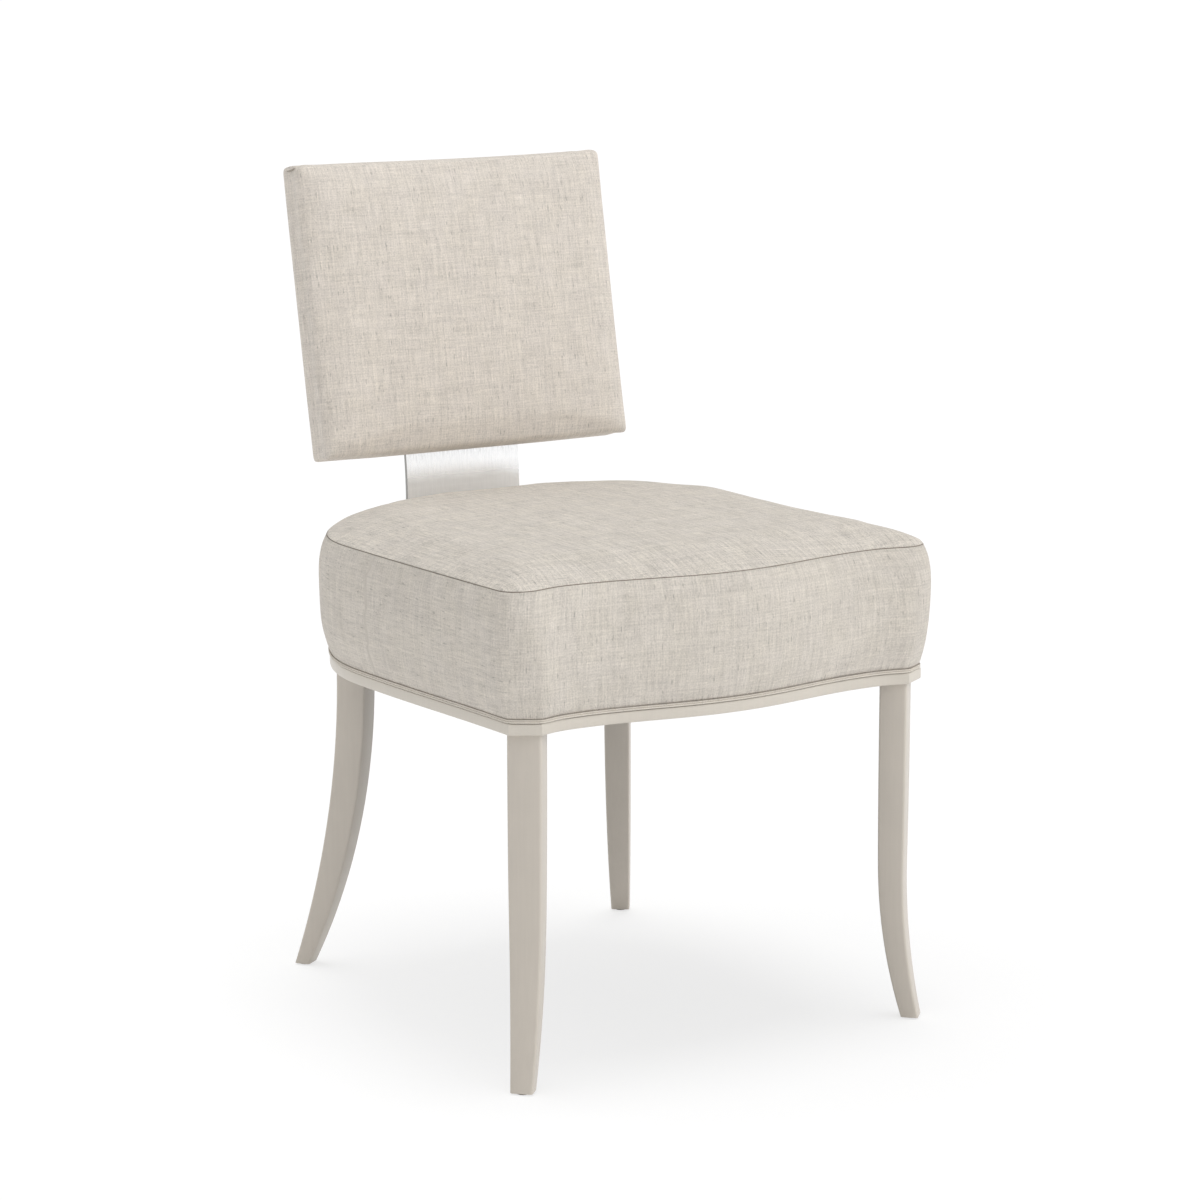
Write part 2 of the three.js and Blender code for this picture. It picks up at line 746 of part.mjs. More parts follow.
function makeSeatFoam() {
  const depth = fabric + softFit;
  const shares = boxingShares.filter((share) => share >= foamFootShare && share < 1);
  const sides = shares.map((share) => around.map((i) => boxingPoint(i, share, depth)));
  const top = topShares.slice(1).map((share) => around.map((i) => topPoint(i, share, depth)));
  const bottomPole = new THREE.Vector3(0, planMiddle, foamFoot);
  const topPole = new THREE.Vector3(0, planMiddle, crownTop - depth);
  addPiece('seat_foam', ringSkin([...sides, ...top], bottomPole, topPole), foam);
}

// Places round the front of the plan, from beside the strap on the left to beside it on the right.
function roundTheFront(clear) {
  const found = around.filter((i) => boxingOutline[i].y < 0 || Math.abs(boxingOutline[i].x) > clear);
  const half = Math.ceil(found.length / 2);
  return [...found.slice(half), ...found.slice(0, half)];
}

// Wadding pads the rails' outer faces under the boxing; the strap leaves no room for it.
const waddingShares = [...boxingShares.filter((share) => share < railTopShare), railTopShare];

function makeWadding() {
  const rest = drawnIn(lipOutline, railRecess - fit, railFlat + fit);
  const sections = roundTheFront(strapWidth / 2 + flatMargin).map((i) => {
    const outer = waddingShares.map((share) => boxingPoint(i, share, fabric + softFit + fit));
    const inner = waddingShares.map((share, k) => new THREE.Vector3(rest[i].x, rest[i].y, outer[k].z));
    return [...outer, ...inner.reverse()];
  });
  addPiece('rail_wadding', loftBar(sections), wadding);
}

// The covered band along the foot of the boxing runs round the front, from strap to strap.
const bandShoulderShare = 0.7;
const bandNoseShare = 0.55;

function makeBand() {
  const low = lipTop + fit;
  const sections = roundTheFront(strapWidth / 2 + bandThickness).map((i) => {
    const p = boxingOutline[i];
    const outward = outwardAt(boxingOutline, i);
    const swell = boxingPoint(i, bandHeight / (seamHeight - boxingLow), 0);
    const rest = Math.hypot(swell.x - p.x, swell.y - p.y) + fit;
    const at = (reach, z) => (
      new THREE.Vector3(p.x + outward.x * (rest + reach), p.y + outward.y * (rest + reach), z));
    return [
      at(0, low),
      at(bandThickness, low),
      at(bandThickness, low + bandHeight * bandShoulderShare),
      at(bandThickness * bandNoseShare, low + bandHeight),
      at(0, low + bandHeight),
    ];
  });
  addPiece('base_band', loftBar(sections), cloth);
}

function makeDustCover() {
  const outline = drawnIn(lipOutline, dustCoverInset);
  const top = frameUnderside - fit;
  const sheet = extrudeBetween(shapeOf(outline), top - dustCoverThickness, top);
  const notches = legs.map((leg) => legBlock(
    leg,
    -leg.topDepth / 2 - notchClearance,
    leg.topDepth,
    leg.topWidth + notchClearance * 2,
    frameUnderside - dustCoverThickness - overrun,
    frameUnderside,
  ));
  addPiece('dust_cover', cut(sheet, ...notches), lining);
}

// Upholstered back, drawn upright and then leaned: X across, Y back, Z up along its slope.
// Its place follows from the strap, whose leaning stretch lies flat on the outside back.
const strapBendStart = seamHeight;
const backFootHeight = crownTop + backClearance;
const lean = radians(backLean);
const strapRest = backThickness + backRearCrown + fit;
const bendEndY = strapFront + strapBendRadius * (1 - Math.cos(lean));
const bendEndZ = strapBendStart + strapBendRadius * Math.sin(lean);
const backFootY = bendEndY - (strapRest + Math.sin(lean) * (bendEndZ - backFootHeight)) / Math.cos(lean);
const back = new THREE.Group();
back.position.set(0, backFootY, backFootHeight);
back.rotation.x = -lean;
back.updateMatrix();
chair.add(back);

const backCornerSteps = 3;
const backEdgeSteps = 7;

// Outline of the back from the front: a rounded board, a little wider at the foot, whose top
// edge dips slightly in the middle.
function backOutline(inset) {
  const radius = Math.max(backCorner - inset, backInnerCorner);
  const corner = (x, z, start) => {
    const points = [];
    for (let i = 0; i <= backCornerSteps; i += 1) {
      const angle = radians(start + (90 * i) / backCornerSteps);
      points.push(new THREE.Vector2(x + radius * Math.cos(angle), z + radius * Math.sin(angle)));
    }
    return points;
  };
  const flare = (backTopHalfWidth - backBottomHalfWidth) / backHeight;
  const halfAt = (z) => backBottomHalfWidth + flare * z - inset;
  const low = inset;
  const high = backHeight - inset;
  const corners = [
    corner(halfAt(low) - radius, low + radius, -90),
    corner(halfAt(high) - radius, high - radius, 0),
    corner(-halfAt(high) + radius, high - radius, 90),
    corner(-halfAt(low) + radius, low + radius, 180),
  ];
  const outline = [];
  corners.forEach((points, k) => {
    outline.push(...points);
    const from = points.at(-1);
    const to = corners[(k + 1) % corners.length][0];
    for (let i = 1; i < backEdgeSteps; i += 1) outline.push(from.clone().lerp(to, i / backEdgeSteps));
  });
  return outline.map((p) => {
    const across = p.x / backTopHalfWidth;
    const dip = p.y > backHeight / 2 ? backTopDip * (1 - across ** 2) : 0;
    return new THREE.Vector2(p.x, p.y - Math.max(dip, 0));
  });
}

const backMiddle = new THREE.Vector2(0, backHeight / 2);

// How far the front stands out of its edge plane at a place on the back.
const swellPower = 2.4;

function frontSwell(p) {
  const across = Math.min(Math.abs(p.x) / (backTopHalfWidth - backEdgeRoll / 2), 1);
  const upward = Math.min(Math.abs(p.y - backMiddle.y) / (backMiddle.y - backEdgeRoll / 2), 1);
  return backFrontCrown * (1 - across ** swellPower) * (1 - upward ** swellPower);
}

const rollAngles = [0, 30, 60, 90];
const frontShares = [0.88, 0.7, 0.45, 0.2];

// Rings of the padded front, from the rear edge over the rolled edge to the middle.
function backRings(depth, rearDepth) {
  const atDepth = (outline, y) => outline.map((p) => new THREE.Vector3(p.x, y, p.y));
  const rings = [atDepth(backOutline(depth), rearDepth)];
  for (const angle of rollAngles) {
    const roll = backEdgeRoll - depth;
    const inset = depth + roll * (1 - Math.cos(radians(angle)));
    rings.push(atDepth(backOutline(inset), depth + roll * (1 - Math.sin(radians(angle)))));
  }
  const face = backOutline(backEdgeRoll);
  for (const share of frontShares) {
    rings.push(face.map((p) => {
      const q = backMiddle.clone().lerp(p, share);
      return new THREE.Vector3(q.x, depth - frontSwell(q), q.y);
    }));
  }
  return rings;
}

const frontPole = (depth) => new THREE.Vector3(0, depth - backFrontCrown, backMiddle.y);
const coreRear = backThickness - backPanelThickness - fit;
const coreFront = coreRear - coreThickness;

// Upper bolts in the back's own frame, through the strap and the outside back into the core.
const upperBolts = boltPattern.map(([side, row]) => new THREE.Vector3(
  (side * boltSpreadX) / 2,
  strapRest + strapThickness + fit,
  upperBoltUp + row * upperBoltSpread,
));
const upperBoltHoles = upperBolts.map((p) => (
  rodAlong(p.clone().setY(p.y + overrun), forward, upperBoltLength + overrun + fit, boltRadius + fit)));

function makeBackCover() {
  const rear = backThickness - fit;
  const outer = backRings(0, rear);
  const inner = backRings(fabric, rear).reverse();
  addPiece('back_front_cover', coverSkin(outer, frontPole(0), inner, frontPole(fabric)), cloth, back);
}

function makeBackFoam() {
  const depth = fabric + fit;
  const rings = backRings(depth, coreFront - fit);
  const rearPole = new THREE.Vector3(0, coreFront - fit, backMiddle.y);
  addPiece('back_foam', ringSkin(rings, rearPole, frontPole(depth)), foam, back);
}

function makeBackCore() {
  const board = extrudeBetween(shapeOf(backOutline(coreSetback)), coreFront, coreRear);
  board.rotateX(Math.PI / 2);
  board.translate(0, coreFront + coreRear, 0);
  addPiece('back_core', cut(board, ...upperBoltHoles), ply, back);
}

// Outside back: cloth over thin wadding, slightly full in the middle.
const panelPower = 6;
const panelShares = [1, 0.93, 0.8, 0.4];

function makeOutsideBack() {
  const inset = fabric + fit;
  const rim = backOutline(inset);
  const level = (share, y) => rim.map((p) => {
    const q = backMiddle.clone().lerp(p, share);
    return new THREE.Vector3(q.x, y(q), q.y);
  });
  const full = (q) => {
    const across = Math.abs(q.x) / backBottomHalfWidth;
    const upward = Math.abs(q.y - backMiddle.y) / backMiddle.y;
    const fullness = (1 - Math.min(across, 1) ** panelPower) * (1 - Math.min(upward, 1) ** panelPower);
    return backThickness + backRearCrown * fullness;
  };
  const edge = () => backThickness - backPanelThickness;
  const rings = [level(1, edge), ...panelShares.map((share) => level(share, full))];
  const innerPole = new THREE.Vector3(0, edge(), backMiddle.y);
  const outerPole = new THREE.Vector3(0, backThickness + backRearCrown, backMiddle.y);
  const panel = ringSkin(rings, innerPole, outerPole);
  addPiece('outside_back_panel', cut(panel, ...upperBoltHoles), cloth, back);
}

// Side padding between the core's edge and the cover.
function makeBackEdgePad() {
  const y = [coreFront, coreRear];
  const ring = (inset, at) => backOutline(inset).map((p) => new THREE.Vector3(p.x, at, p.y));
  const rings = [
    ring(fabric + fit, y[0]),
    ring(fabric + fit, y[1]),
    ring(coreSetback - fit, y[1]),
    ring(coreSetback - fit, y[0]),
  ];
  addPiece('back_edge_pad', ringSkin(rings), wadding, back);
}

// Steel strap: upright behind the seat, then bent on one large radius to the lean of the back.
const strapFoot = lipTop;
const bendSteps = 10;

function strapProfile() {
  const centreY = strapFront + strapBendRadius;
  const line = (offset) => {
    const points = [new THREE.Vector2(strapFront + offset, strapFoot)];
    for (let i = 0; i <= bendSteps; i += 1) {
      const angle = (lean * i) / bendSteps;
      const radius = strapBendRadius - offset;
      const y = centreY - radius * Math.cos(angle);
      points.push(new THREE.Vector2(y, strapBendStart + radius * Math.sin(angle)));
    }
    const end = points.at(-1);
    const rise = new THREE.Vector2(Math.sin(lean), Math.cos(lean)).multiplyScalar(strapTopLength);
    points.push(end.clone().add(rise));
    return points;
  };
  return [...line(0), ...line(strapThickness).reverse()];
}

// Plate outline seen from the front, with rounded top corners.
function strapFace(low, high) {
  const half = strapWidth / 2;
  const shape = new THREE.Shape();
  shape.moveTo(-half, low);
  shape.lineTo(half, low);
  shape.lineTo(half, high - strapCorner);
  shape.absarc(half - strapCorner, high - strapCorner, strapCorner, 0, Math.PI / 2, false);
  shape.lineTo(-half + strapCorner, high);
  shape.absarc(-half + strapCorner, high - strapCorner, strapCorner, Math.PI / 2, Math.PI, false);
  shape.lineTo(-half, low);
  return shape;
}

function makeStrap() {
  const profile = new THREE.Shape(strapProfile());
  const blank = extrudeBetween(profile, -strapWidth / 2 - overrun, strapWidth / 2 + overrun);
  // The profile is drawn as depth and height, so its X becomes Y and its Y becomes Z.
  blank.applyMatrix4(new THREE.Matrix4().makeBasis(
    new THREE.Vector3(0, 1, 0),
    new THREE.Vector3(0, 0, 1),
    new THREE.Vector3(1, 0, 0),
  ));
  const high = Math.max(...strapProfile().map((p) => p.y));
  const deep = Math.max(...strapProfile().map((p) => p.x)) + overrun;
  const face = extrudeBetween(strapFace(strapFoot - overrun, high), 0, deep);
  face.rotateX(Math.PI / 2);
  face.translate(0, deep, 0);
  const leaned = upperBoltHoles.map((hole) => hole.clone().applyMatrix4(back.matrix));
  addPiece('back_strap', cut(keepInside(blank, face), ...lowerBoltHoles, ...leaned), steel);
}

// A button-headed bolt, drawn with its head above the origin and its shank below.
function boltGeometry(length) {
  const profile = [[0, -length], [boltRadius, -length], [boltRadius, 0], [boltHeadRadius, 0]]
    .map(([r, y]) => new THREE.Vector2(r, y));
  const domeSteps = 4;
  for (let i = 1; i <= domeSteps; i += 1) {
    const angle = (Math.PI / 2) * (i / domeSteps);
    profile.push(new THREE.Vector2(boltHeadRadius * Math.cos(angle), boltHeadHeight * Math.sin(angle)));
  }
  profile.at(-1).x = 0;
  return new THREE.LatheGeometry(profile, roundSides);
}

function makeStrapBolts() {
  lowerBolts.forEach((place, i) => {
    const bolt = addPiece(`lower_strap_bolt_${i + 1}`, boltGeometry(lowerBoltLength), steel);
    bolt.position.set(place.x, place.y + fit, place.z);
  });
  upperBolts.forEach((place, i) => {
    const bolt = addPiece(`upper_strap_bolt_${i + 1}`, boltGeometry(upperBoltLength), steel, back);
    bolt.position.copy(place);
  });
}

// Every piece, from the floor up
for (const leg of legs) {
  makeLeg(leg);
  makeGlide(leg);
  makeCornerBlock(leg);
  makeLegBolt(leg);
}
makeRails();
makeWebbing();
makeSeatFoam();
makeWadding();
makeSeatCovers();
makeBand();
makeDustCover();
makeBackCover();
makeBackFoam();
makeBackEdgePad();
makeBackCore();
makeOutsideBack();
makeStrap();
makeStrapBolts();

// The whole chair moves so that the origin lies under the middle of its outer box.
const outerBox = new THREE.Box3().setFromObject(chair, true);
chair.position.y = -(outerBox.min.y + outerBox.max.y) / 2;

export default chair;
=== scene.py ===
import math

import bmesh
import bpy
from mathutils import Matrix, Vector
from mathutils.geometry import interpolate_bezier
from mathutils.noise import noise


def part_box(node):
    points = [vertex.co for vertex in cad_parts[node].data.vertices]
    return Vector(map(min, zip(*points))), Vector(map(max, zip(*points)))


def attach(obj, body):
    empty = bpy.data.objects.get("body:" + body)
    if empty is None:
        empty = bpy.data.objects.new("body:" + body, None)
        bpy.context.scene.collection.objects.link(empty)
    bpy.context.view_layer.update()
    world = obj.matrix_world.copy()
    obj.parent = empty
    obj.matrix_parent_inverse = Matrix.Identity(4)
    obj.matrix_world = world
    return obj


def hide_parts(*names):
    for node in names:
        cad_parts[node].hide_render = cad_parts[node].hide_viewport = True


# A klismos dining chair: painted sabre legs and frame, a boxed linen seat, and a square linen
# back that floats on one wide strap of brushed stainless steel. Metres, +Z up, sitter faces -Y.
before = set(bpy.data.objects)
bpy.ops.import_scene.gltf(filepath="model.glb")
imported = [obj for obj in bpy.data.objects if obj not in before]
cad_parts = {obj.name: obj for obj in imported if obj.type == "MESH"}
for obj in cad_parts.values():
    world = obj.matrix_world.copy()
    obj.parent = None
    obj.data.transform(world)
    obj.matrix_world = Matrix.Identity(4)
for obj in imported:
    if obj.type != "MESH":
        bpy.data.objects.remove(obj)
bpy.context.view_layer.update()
BODY = "root"
MM = 0.001
MERGE_DISTANCE = 0.01 * MM
ORIGIN = (0, 0, 0)

# The plan is drawn from the middle of the frame; the chair's own origin is under its middle.
STRAP_FRONT = 276.3 * MM
PLAN_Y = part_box("back_strap")[0][1] - STRAP_FRONT


# Working by hand: select, edit, finish
def clear_selection():
    if bpy.context.object and bpy.context.object.mode != "OBJECT":
        bpy.ops.object.mode_set(mode="OBJECT")
    bpy.ops.object.select_all(action="DESELECT")


def work_on(piece):
    clear_selection()
    piece.hide_set(False)
    piece.select_set(True)
    bpy.context.view_layer.objects.active = piece


def name_piece(name):
    piece = bpy.context.object
    piece.name = name
    piece.data.name = name
    return piece


def add_object(name, data):
    thing = bpy.data.objects.new(name, data)
    bpy.context.scene.collection.objects.link(thing)
    return thing


def edit(piece, mode="FACE"):
    work_on(piece)
    bpy.ops.object.mode_set(mode="EDIT")
    bpy.ops.mesh.select_mode(type=mode)
    bpy.ops.mesh.select_all(action="DESELECT")
    return bmesh.from_edit_mesh(piece.data)


def pick(piece, kind, wanted):
    """Selects the faces, edges or corners of the piece being edited that pass a test."""
    shape = bmesh.from_edit_mesh(piece.data)
    bpy.ops.mesh.select_all(action="DESELECT")
    for part in getattr(shape, kind):
        part.select_set(bool(wanted(part)))
    shape.select_flush_mode()
    bmesh.update_edit_mesh(piece.data)


def select_all():
    bpy.ops.mesh.select_all(action="SELECT")


def resize(across, deep, centre=ORIGIN):
    bpy.ops.transform.resize(value=(across, deep, 1), center_override=centre)


def extrude(move):
    bpy.ops.mesh.extrude_region_move(TRANSFORM_OT_translate={"value": move})


def bevel_edges(offset, segments, clamped=False):
    bpy.ops.mesh.bevel(offset=offset, segments=segments, affect="EDGES", clamp_overlap=clamped)


def face_outwards():
    select_all()
    bpy.ops.mesh.normals_make_consistent(inside=False)


def middle_of(edge):
    return (edge.verts[0].co + edge.verts[1].co) / 2


def highest(piece):
    return max(v.co.z for v in bmesh.from_edit_mesh(piece.data).verts)


def leave_edit():
    bpy.ops.object.mode_set(mode="OBJECT")


def tidy_normals(piece):
    edit(piece)
    select_all()
    bpy.ops.mesh.remove_doubles(threshold=MERGE_DISTANCE)
    bpy.ops.mesh.normals_make_consistent(inside=False)
    leave_edit()


def smooth_by_angle(piece, degrees):
    work_on(piece)
    bpy.ops.object.shade_smooth_by_angle(angle=math.radians(degrees))


def smooth_all(piece):
    for face in piece.data.polygons:
        face.use_smooth = True


def settle(piece):
    """Moves a finished piece's place, turn and size into its mesh."""
    work_on(piece)
    bpy.ops.object.transform_apply(location=True, rotation=True, scale=True)
    return piece


def subdivide(piece):
    """Rounds the piece by one level of subdivision."""
    work_on(piece)
    finer = piece.modifiers.new("finer", "SUBSURF")
    finer.levels = 1
    finer.render_levels = 1
    bpy.ops.object.modifier_apply(modifier="finer")


def cut_away(piece, cutter):
    work_on(piece)
    cut = piece.modifiers.new("cut", "BOOLEAN")
    cut.operation = "DIFFERENCE"
    cut.object = cutter
    bpy.ops.object.modifier_apply(modifier="cut")
    bpy.data.objects.remove(cutter)


def dress(piece, *materials):
    """Gives the piece its materials. A face has the first until its number is set."""
    piece.data.materials.clear()
    for material in materials:
        piece.data.materials.append(material)


def finish_piece(piece, slot, *stands_for):
    if stands_for:
        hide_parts(*stands_for)
    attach(piece, BODY)


# Camera
CAMERA_TURN = math.radians(-32.326)
CAMERA_RISE = math.radians(11.140)
CAMERA_DISTANCE = 3.9332
LOOK_AT = Vector((0, PLAN_Y, 0.414))
LENS = 113.64
CAMERA_SHIFT_X = 0.00064
CAMERA_SHIFT_Y = 0.01043


def place_camera():
    away = Vector((
        math.sin(CAMERA_TURN) * math.cos(CAMERA_RISE),
        -math.cos(CAMERA_TURN) * math.cos(CAMERA_RISE),
        math.sin(CAMERA_RISE),
    ))
    data = bpy.data.cameras.new("camera")
    data.sensor_width = 36
    data.lens = LENS
    data.shift_x = CAMERA_SHIFT_X
    data.shift_y = CAMERA_SHIFT_Y
    data.clip_end = 80
    camera = add_object("camera", data)
    camera.location = LOOK_AT + away * CAMERA_DISTANCE
    camera.rotation_euler = (math.pi / 2 - CAMERA_RISE, 0, CAMERA_TURN)
    bpy.context.scene.camera = camera


# Shader nodes
WHITE = (1, 1, 1, 1)
MID_GREY = (0.6, 0.6, 0.6, 1)


class Graph:
    """The nodes of a material, group or world, with short ways to add the usual ones."""

    def __init__(self, tree):
        self.nodes = tree.nodes
        self.links = tree.links

    def feed(self, node, inputs):
        """Gives a node's inputs, by name or number, values or links from other nodes."""
        for key, value in inputs.items():
            if isinstance(value, bpy.types.NodeSocket):
                self.links.new(value, node.inputs[key])
            else:
                node.inputs[key].default_value = value

    def add(self, kind, inputs=None, **settings):
        node = self.nodes.new(kind)
        for name, value in settings.items():
            setattr(node, name, value)
        self.feed(node, inputs or {})
        return node

    def math(self, operation, *values):
        return self.add("ShaderNodeMath", dict(enumerate(values)), operation=operation).outputs[0]

    def total(self, first, *others):
        for value in others:
            first = self.math("ADD", first, value)
        return first

    def noise(self, vector, scale, detail, roughness):
        """Noise drawn out along each axis by its own scale, in features per metre."""
        place = self.add("ShaderNodeMapping", {"Vector": vector, "Scale": scale})
        values = {"Vector": place.outputs[0], "Scale": 1, "Detail": detail, "Roughness": roughness}
        return self.add("ShaderNodeTexNoise", values).outputs["Fac"]

    def spread(self, value, low, high, to_low, to_high):
        bounds = {"From Min": low, "From Max": high, "To Min": to_low, "To Max": to_high}
        return self.add("ShaderNodeMapRange", {"Value": value, **bounds}).outputs[0]

    def around(self, value, low, high, middle, less, more):
        """Spreads a value round a middle, from less below it to more above it."""
        lowest, top = self.math("SUBTRACT", middle, less), self.math("ADD", middle, more)
        return self.spread(value, low, high, lowest, top)

    def tinted(self, colour, factor):
        """The colour made lighter or darker by a factor that changes over the surface."""
        mix = self.add("ShaderNodeVectorMath", {0: colour, "Scale": factor}, operation="SCALE")
        return mix.outputs[0]

    def bump(self, height, distance, strength):
        values = {"Height": height, "Distance": distance, "Strength": strength}
        return self.add("ShaderNodeBump", values).outputs[0]

    def place(self, group, vector, **values):
        """A shared effect placed with this material's own values."""
        return self.add("ShaderNodeGroup", {"Vector": vector, **values}, node_tree=group).outputs


def new_material(name, values):
    material = bpy.data.materials.new(name)
    material.use_nodes = True
    graph = Graph(material.node_tree)
    surface = graph.nodes["Principled BSDF"]
    graph.feed(surface, values)
    return material, graph, surface


def shade(red, green, blue):
    """A colour written as it looks on screen, 0 to 255, made linear."""
    def linear(value):
        share = value / 255
        return share / 12.92 if share <= 0.04045 else ((share + 0.055) / 1.055) ** 2.4
    return (linear(red), linear(green), linear(blue), 1.0)


# Effects that several materials share: node groups with named inputs and outputs
SOCKET_KINDS = {"Vector": "NodeSocketVector", "Stretch": "NodeSocketVector", "Colour": "NodeSocketColor"}
FINISH_INPUTS = {"Vector": ORIGIN, "Colour": MID_GREY, "Roughness": 0.4}
FINISH_OUTPUTS = ("Colour", "Roughness", "Height")
THREADS_PER_METRE = 1150.0


def new_group(name, inputs, outputs):
    tree = bpy.data.node_groups.new(name, "ShaderNodeTree")
    for label, value in inputs.items():
        kind = SOCKET_KINDS.get(label, "NodeSocketFloat")
        tree.interface.new_socket(label, in_out="INPUT", socket_type=kind).default_value = value
    for label in outputs:
        kind = SOCKET_KINDS.get(label, "NodeSocketFloat")
        tree.interface.new_socket(label, in_out="OUTPUT", socket_type=kind)
    graph = Graph(tree)
    return tree, graph, graph.add("NodeGroupInput").outputs, graph.add("NodeGroupOutput")


def build_linen_group():
    """Plain-woven linen: warp and weft threads, long slubs both ways, flecks and soft clouds."""
    inputs = {"Vector": ORIGIN, "Colour": MID_GREY, "Threads": THREADS_PER_METRE, "Slub": 1.0}
    tree, graph, start, end = new_group("linen", inputs, ("Colour", "Height"))
    vector = start["Vector"]
    run = graph.add("ShaderNodeSeparateXYZ", {0: vector}).outputs

    def thread(position):
        count = graph.math("MULTIPLY", position, start["Threads"])
        wave = graph.math("SINE", graph.math("MULTIPLY", count, math.pi))
        return graph.math("ABSOLUTE", wave), graph.math("FLOOR", count)

    warp, warp_cell = thread(run[0])
    weft, weft_cell = thread(run[1])
    checker = graph.math("PINGPONG", graph.math("ADD", warp_cell, weft_cell), 1)
    weave = graph.add("ShaderNodeMix", {"Factor": checker, "A": warp, "B": weft}).outputs["Result"]

    warp_slub = graph.noise(vector, (600, 44, 1), 2.5, 0.62)
    weft_slub = graph.noise(vector, (34, 640, 1), 2.5, 0.62)
    long_warp = graph.noise(vector, (240, 7, 1), 1, 0.5)
    long_weft = graph.noise(vector, (9, 130, 1), 1, 0.5)
    grain = graph.noise(vector, (640, 520, 1), 2, 0.6)
    fleck = graph.noise(vector, (470, 105, 1), 0, 0.5)
    cloud = graph.noise(vector, (34, 24, 1), 3, 0.6)
    slubs = graph.total(
        graph.spread(warp_slub, 0.28, 0.72, -0.125, 0.10),
        graph.spread(weft_slub, 0.28, 0.72, -0.095, 0.088),
        graph.spread(long_warp, 0.3, 0.7, -0.045, 0.038),
        graph.spread(long_weft, 0.3, 0.7, -0.032, 0.032),
        graph.spread(grain, 0.28, 0.72, -0.13, 0.12))
    factor = graph.total(
        graph.math("MULTIPLY", slubs, start["Slub"]),
        graph.spread(fleck, 0.72, 0.80, 0.0, -0.24),
        graph.spread(cloud, 0.3, 0.7, -0.038, 0.035),
        graph.spread(weave, 0.0, 1.0, -0.025, 0.015),
        1.02)

    drifting = graph.spread(graph.noise(vector, (34, 30, 1), 2, 0.55), 0.38, 0.62, 0, 1)
    cool, warm = (0.998, 0.998, 1.005, 1), (1.002, 1.001, 0.996, 1)
    drift = graph.add("ShaderNodeMix", {"Factor": drifting, 6: cool, 7: warm}, data_type="RGBA").outputs[2]
    toned = graph.add(
        "ShaderNodeMix", {"Factor": 1, 6: graph.tinted(start["Colour"], factor), 7: drift},
        data_type="RGBA", blend_type="MULTIPLY").outputs[2]
    slub_height = graph.math("MULTIPLY", graph.math("ADD", warp_slub, weft_slub), 0.6)
    height = graph.math("ADD", graph.math("MULTIPLY", weave, 0.5), slub_height)
    graph.feed(end, {"Colour": toned, "Height": height})
    return tree


def build_paint_group():
    """Brushed-on paint: faint strokes along the piece and soft changes of gloss."""
    tree, graph, start, end = new_group("brushed_paint", FINISH_INPUTS, FINISH_OUTPUTS)
    strokes = graph.noise(start["Vector"], (420, 420, 14), 2, 0.55)
    cloud = graph.noise(start["Vector"], (22, 22, 16), 3, 0.6)
    factor = graph.total(
        graph.spread(strokes, 0.3, 0.7, 0.985, 1.012), graph.spread(cloud, 0.3, 0.7, -0.02, 0.02))
    graph.feed(end, {
        "Colour": graph.tinted(start["Colour"], factor),
        "Roughness": graph.around(cloud, 0.3, 0.7, start["Roughness"], 0.05, 0.06),
        "Height": strokes,
    })
    return tree


def build_brushing_group():
    """Metal brushed along its length: fine scratches and broader bands."""
    tree, graph, start, end = new_group("brushed_metal", FINISH_INPUTS, FINISH_OUTPUTS)
    fine = graph.noise(start["Vector"], (2600, 2600, 26), 3, 0.6)
    broad = graph.noise(start["Vector"], (700, 700, 7), 2, 0.5)
    factor = graph.total(
        graph.spread(fine, 0.3, 0.7, 0.95, 1.03), graph.spread(broad, 0.3, 0.7, -0.035, 0.03))
    graph.feed(end, {
        "Colour": graph.tinted(start["Colour"], factor),
        "Roughness": graph.around(fine, 0.25, 0.75, start["Roughness"], 0.05, 0.05),
        "Height": fine,
    })
    return tree


def build_grain_group():
    """Grain or grit in one direction, as fine or as drawn out as Stretch says."""
    inputs = {**FINISH_INPUTS, "Stretch": (300, 300, 300), "Change": 0.1}
    tree, graph, start, end = new_group("grain", inputs, FINISH_OUTPUTS)
    grain = graph.noise(start["Vector"], start["Stretch"], 4, 0.6)
    glossiest = graph.math("SUBTRACT", start["Roughness"], 0.08)
    dullest = graph.math("MINIMUM", graph.math("ADD", start["Roughness"], 0.08), 1)
    factor = graph.around(grain, 0.3, 0.7, 1, start["Change"], start["Change"])
    graph.feed(end, {
        "Colour": graph.tinted(start["Colour"], factor),
        "Roughness": graph.spread(grain, 0.3, 0.7, glossiest, dullest),
        "Height": grain,
    })
    return tree


# Materials
def linen(name, colour, slub=1.0, threads=THREADS_PER_METRE):
    material, graph, surface = new_material(name, {
        "Roughness": 0.92, "Specular IOR Level": 0.22, "Sheen Weight": 0.12, "Sheen Roughness": 0.55})
    place = graph.add("ShaderNodeUVMap", uv_map="weave").outputs["UV"]
    cloth = graph.place(LINEN, place, Colour=colour, Slub=slub, Threads=threads)
    relief = graph.bump(cloth["Height"], 0.35 * MM, 0.7)
    graph.feed(surface, {"Base Color": cloth["Colour"], "Normal": relief})
    return material


def shared_finish(name, group, relief, constants, **values):
    """A finish of one shared effect, laid by the piece's own Object coordinates."""
    material, graph, surface = new_material(name, constants)
    place = graph.add("ShaderNodeTexCoord").outputs["Object"]
    effect = graph.place(group, place, **values)
    graph.feed(surface, {
        "Base Color": effect["Colour"],
        "Roughness": effect["Roughness"],
        "Normal": graph.bump(effect["Height"], *relief),
    })
    return material


def satin_paint(name, colour, roughness):
    constants = {"Coat Weight": 0.12, "Coat Roughness": 0.3}
    return shared_finish(
        name, BRUSHED_PAINT, (0.12 * MM, 0.35), constants, Colour=colour, Roughness=roughness)


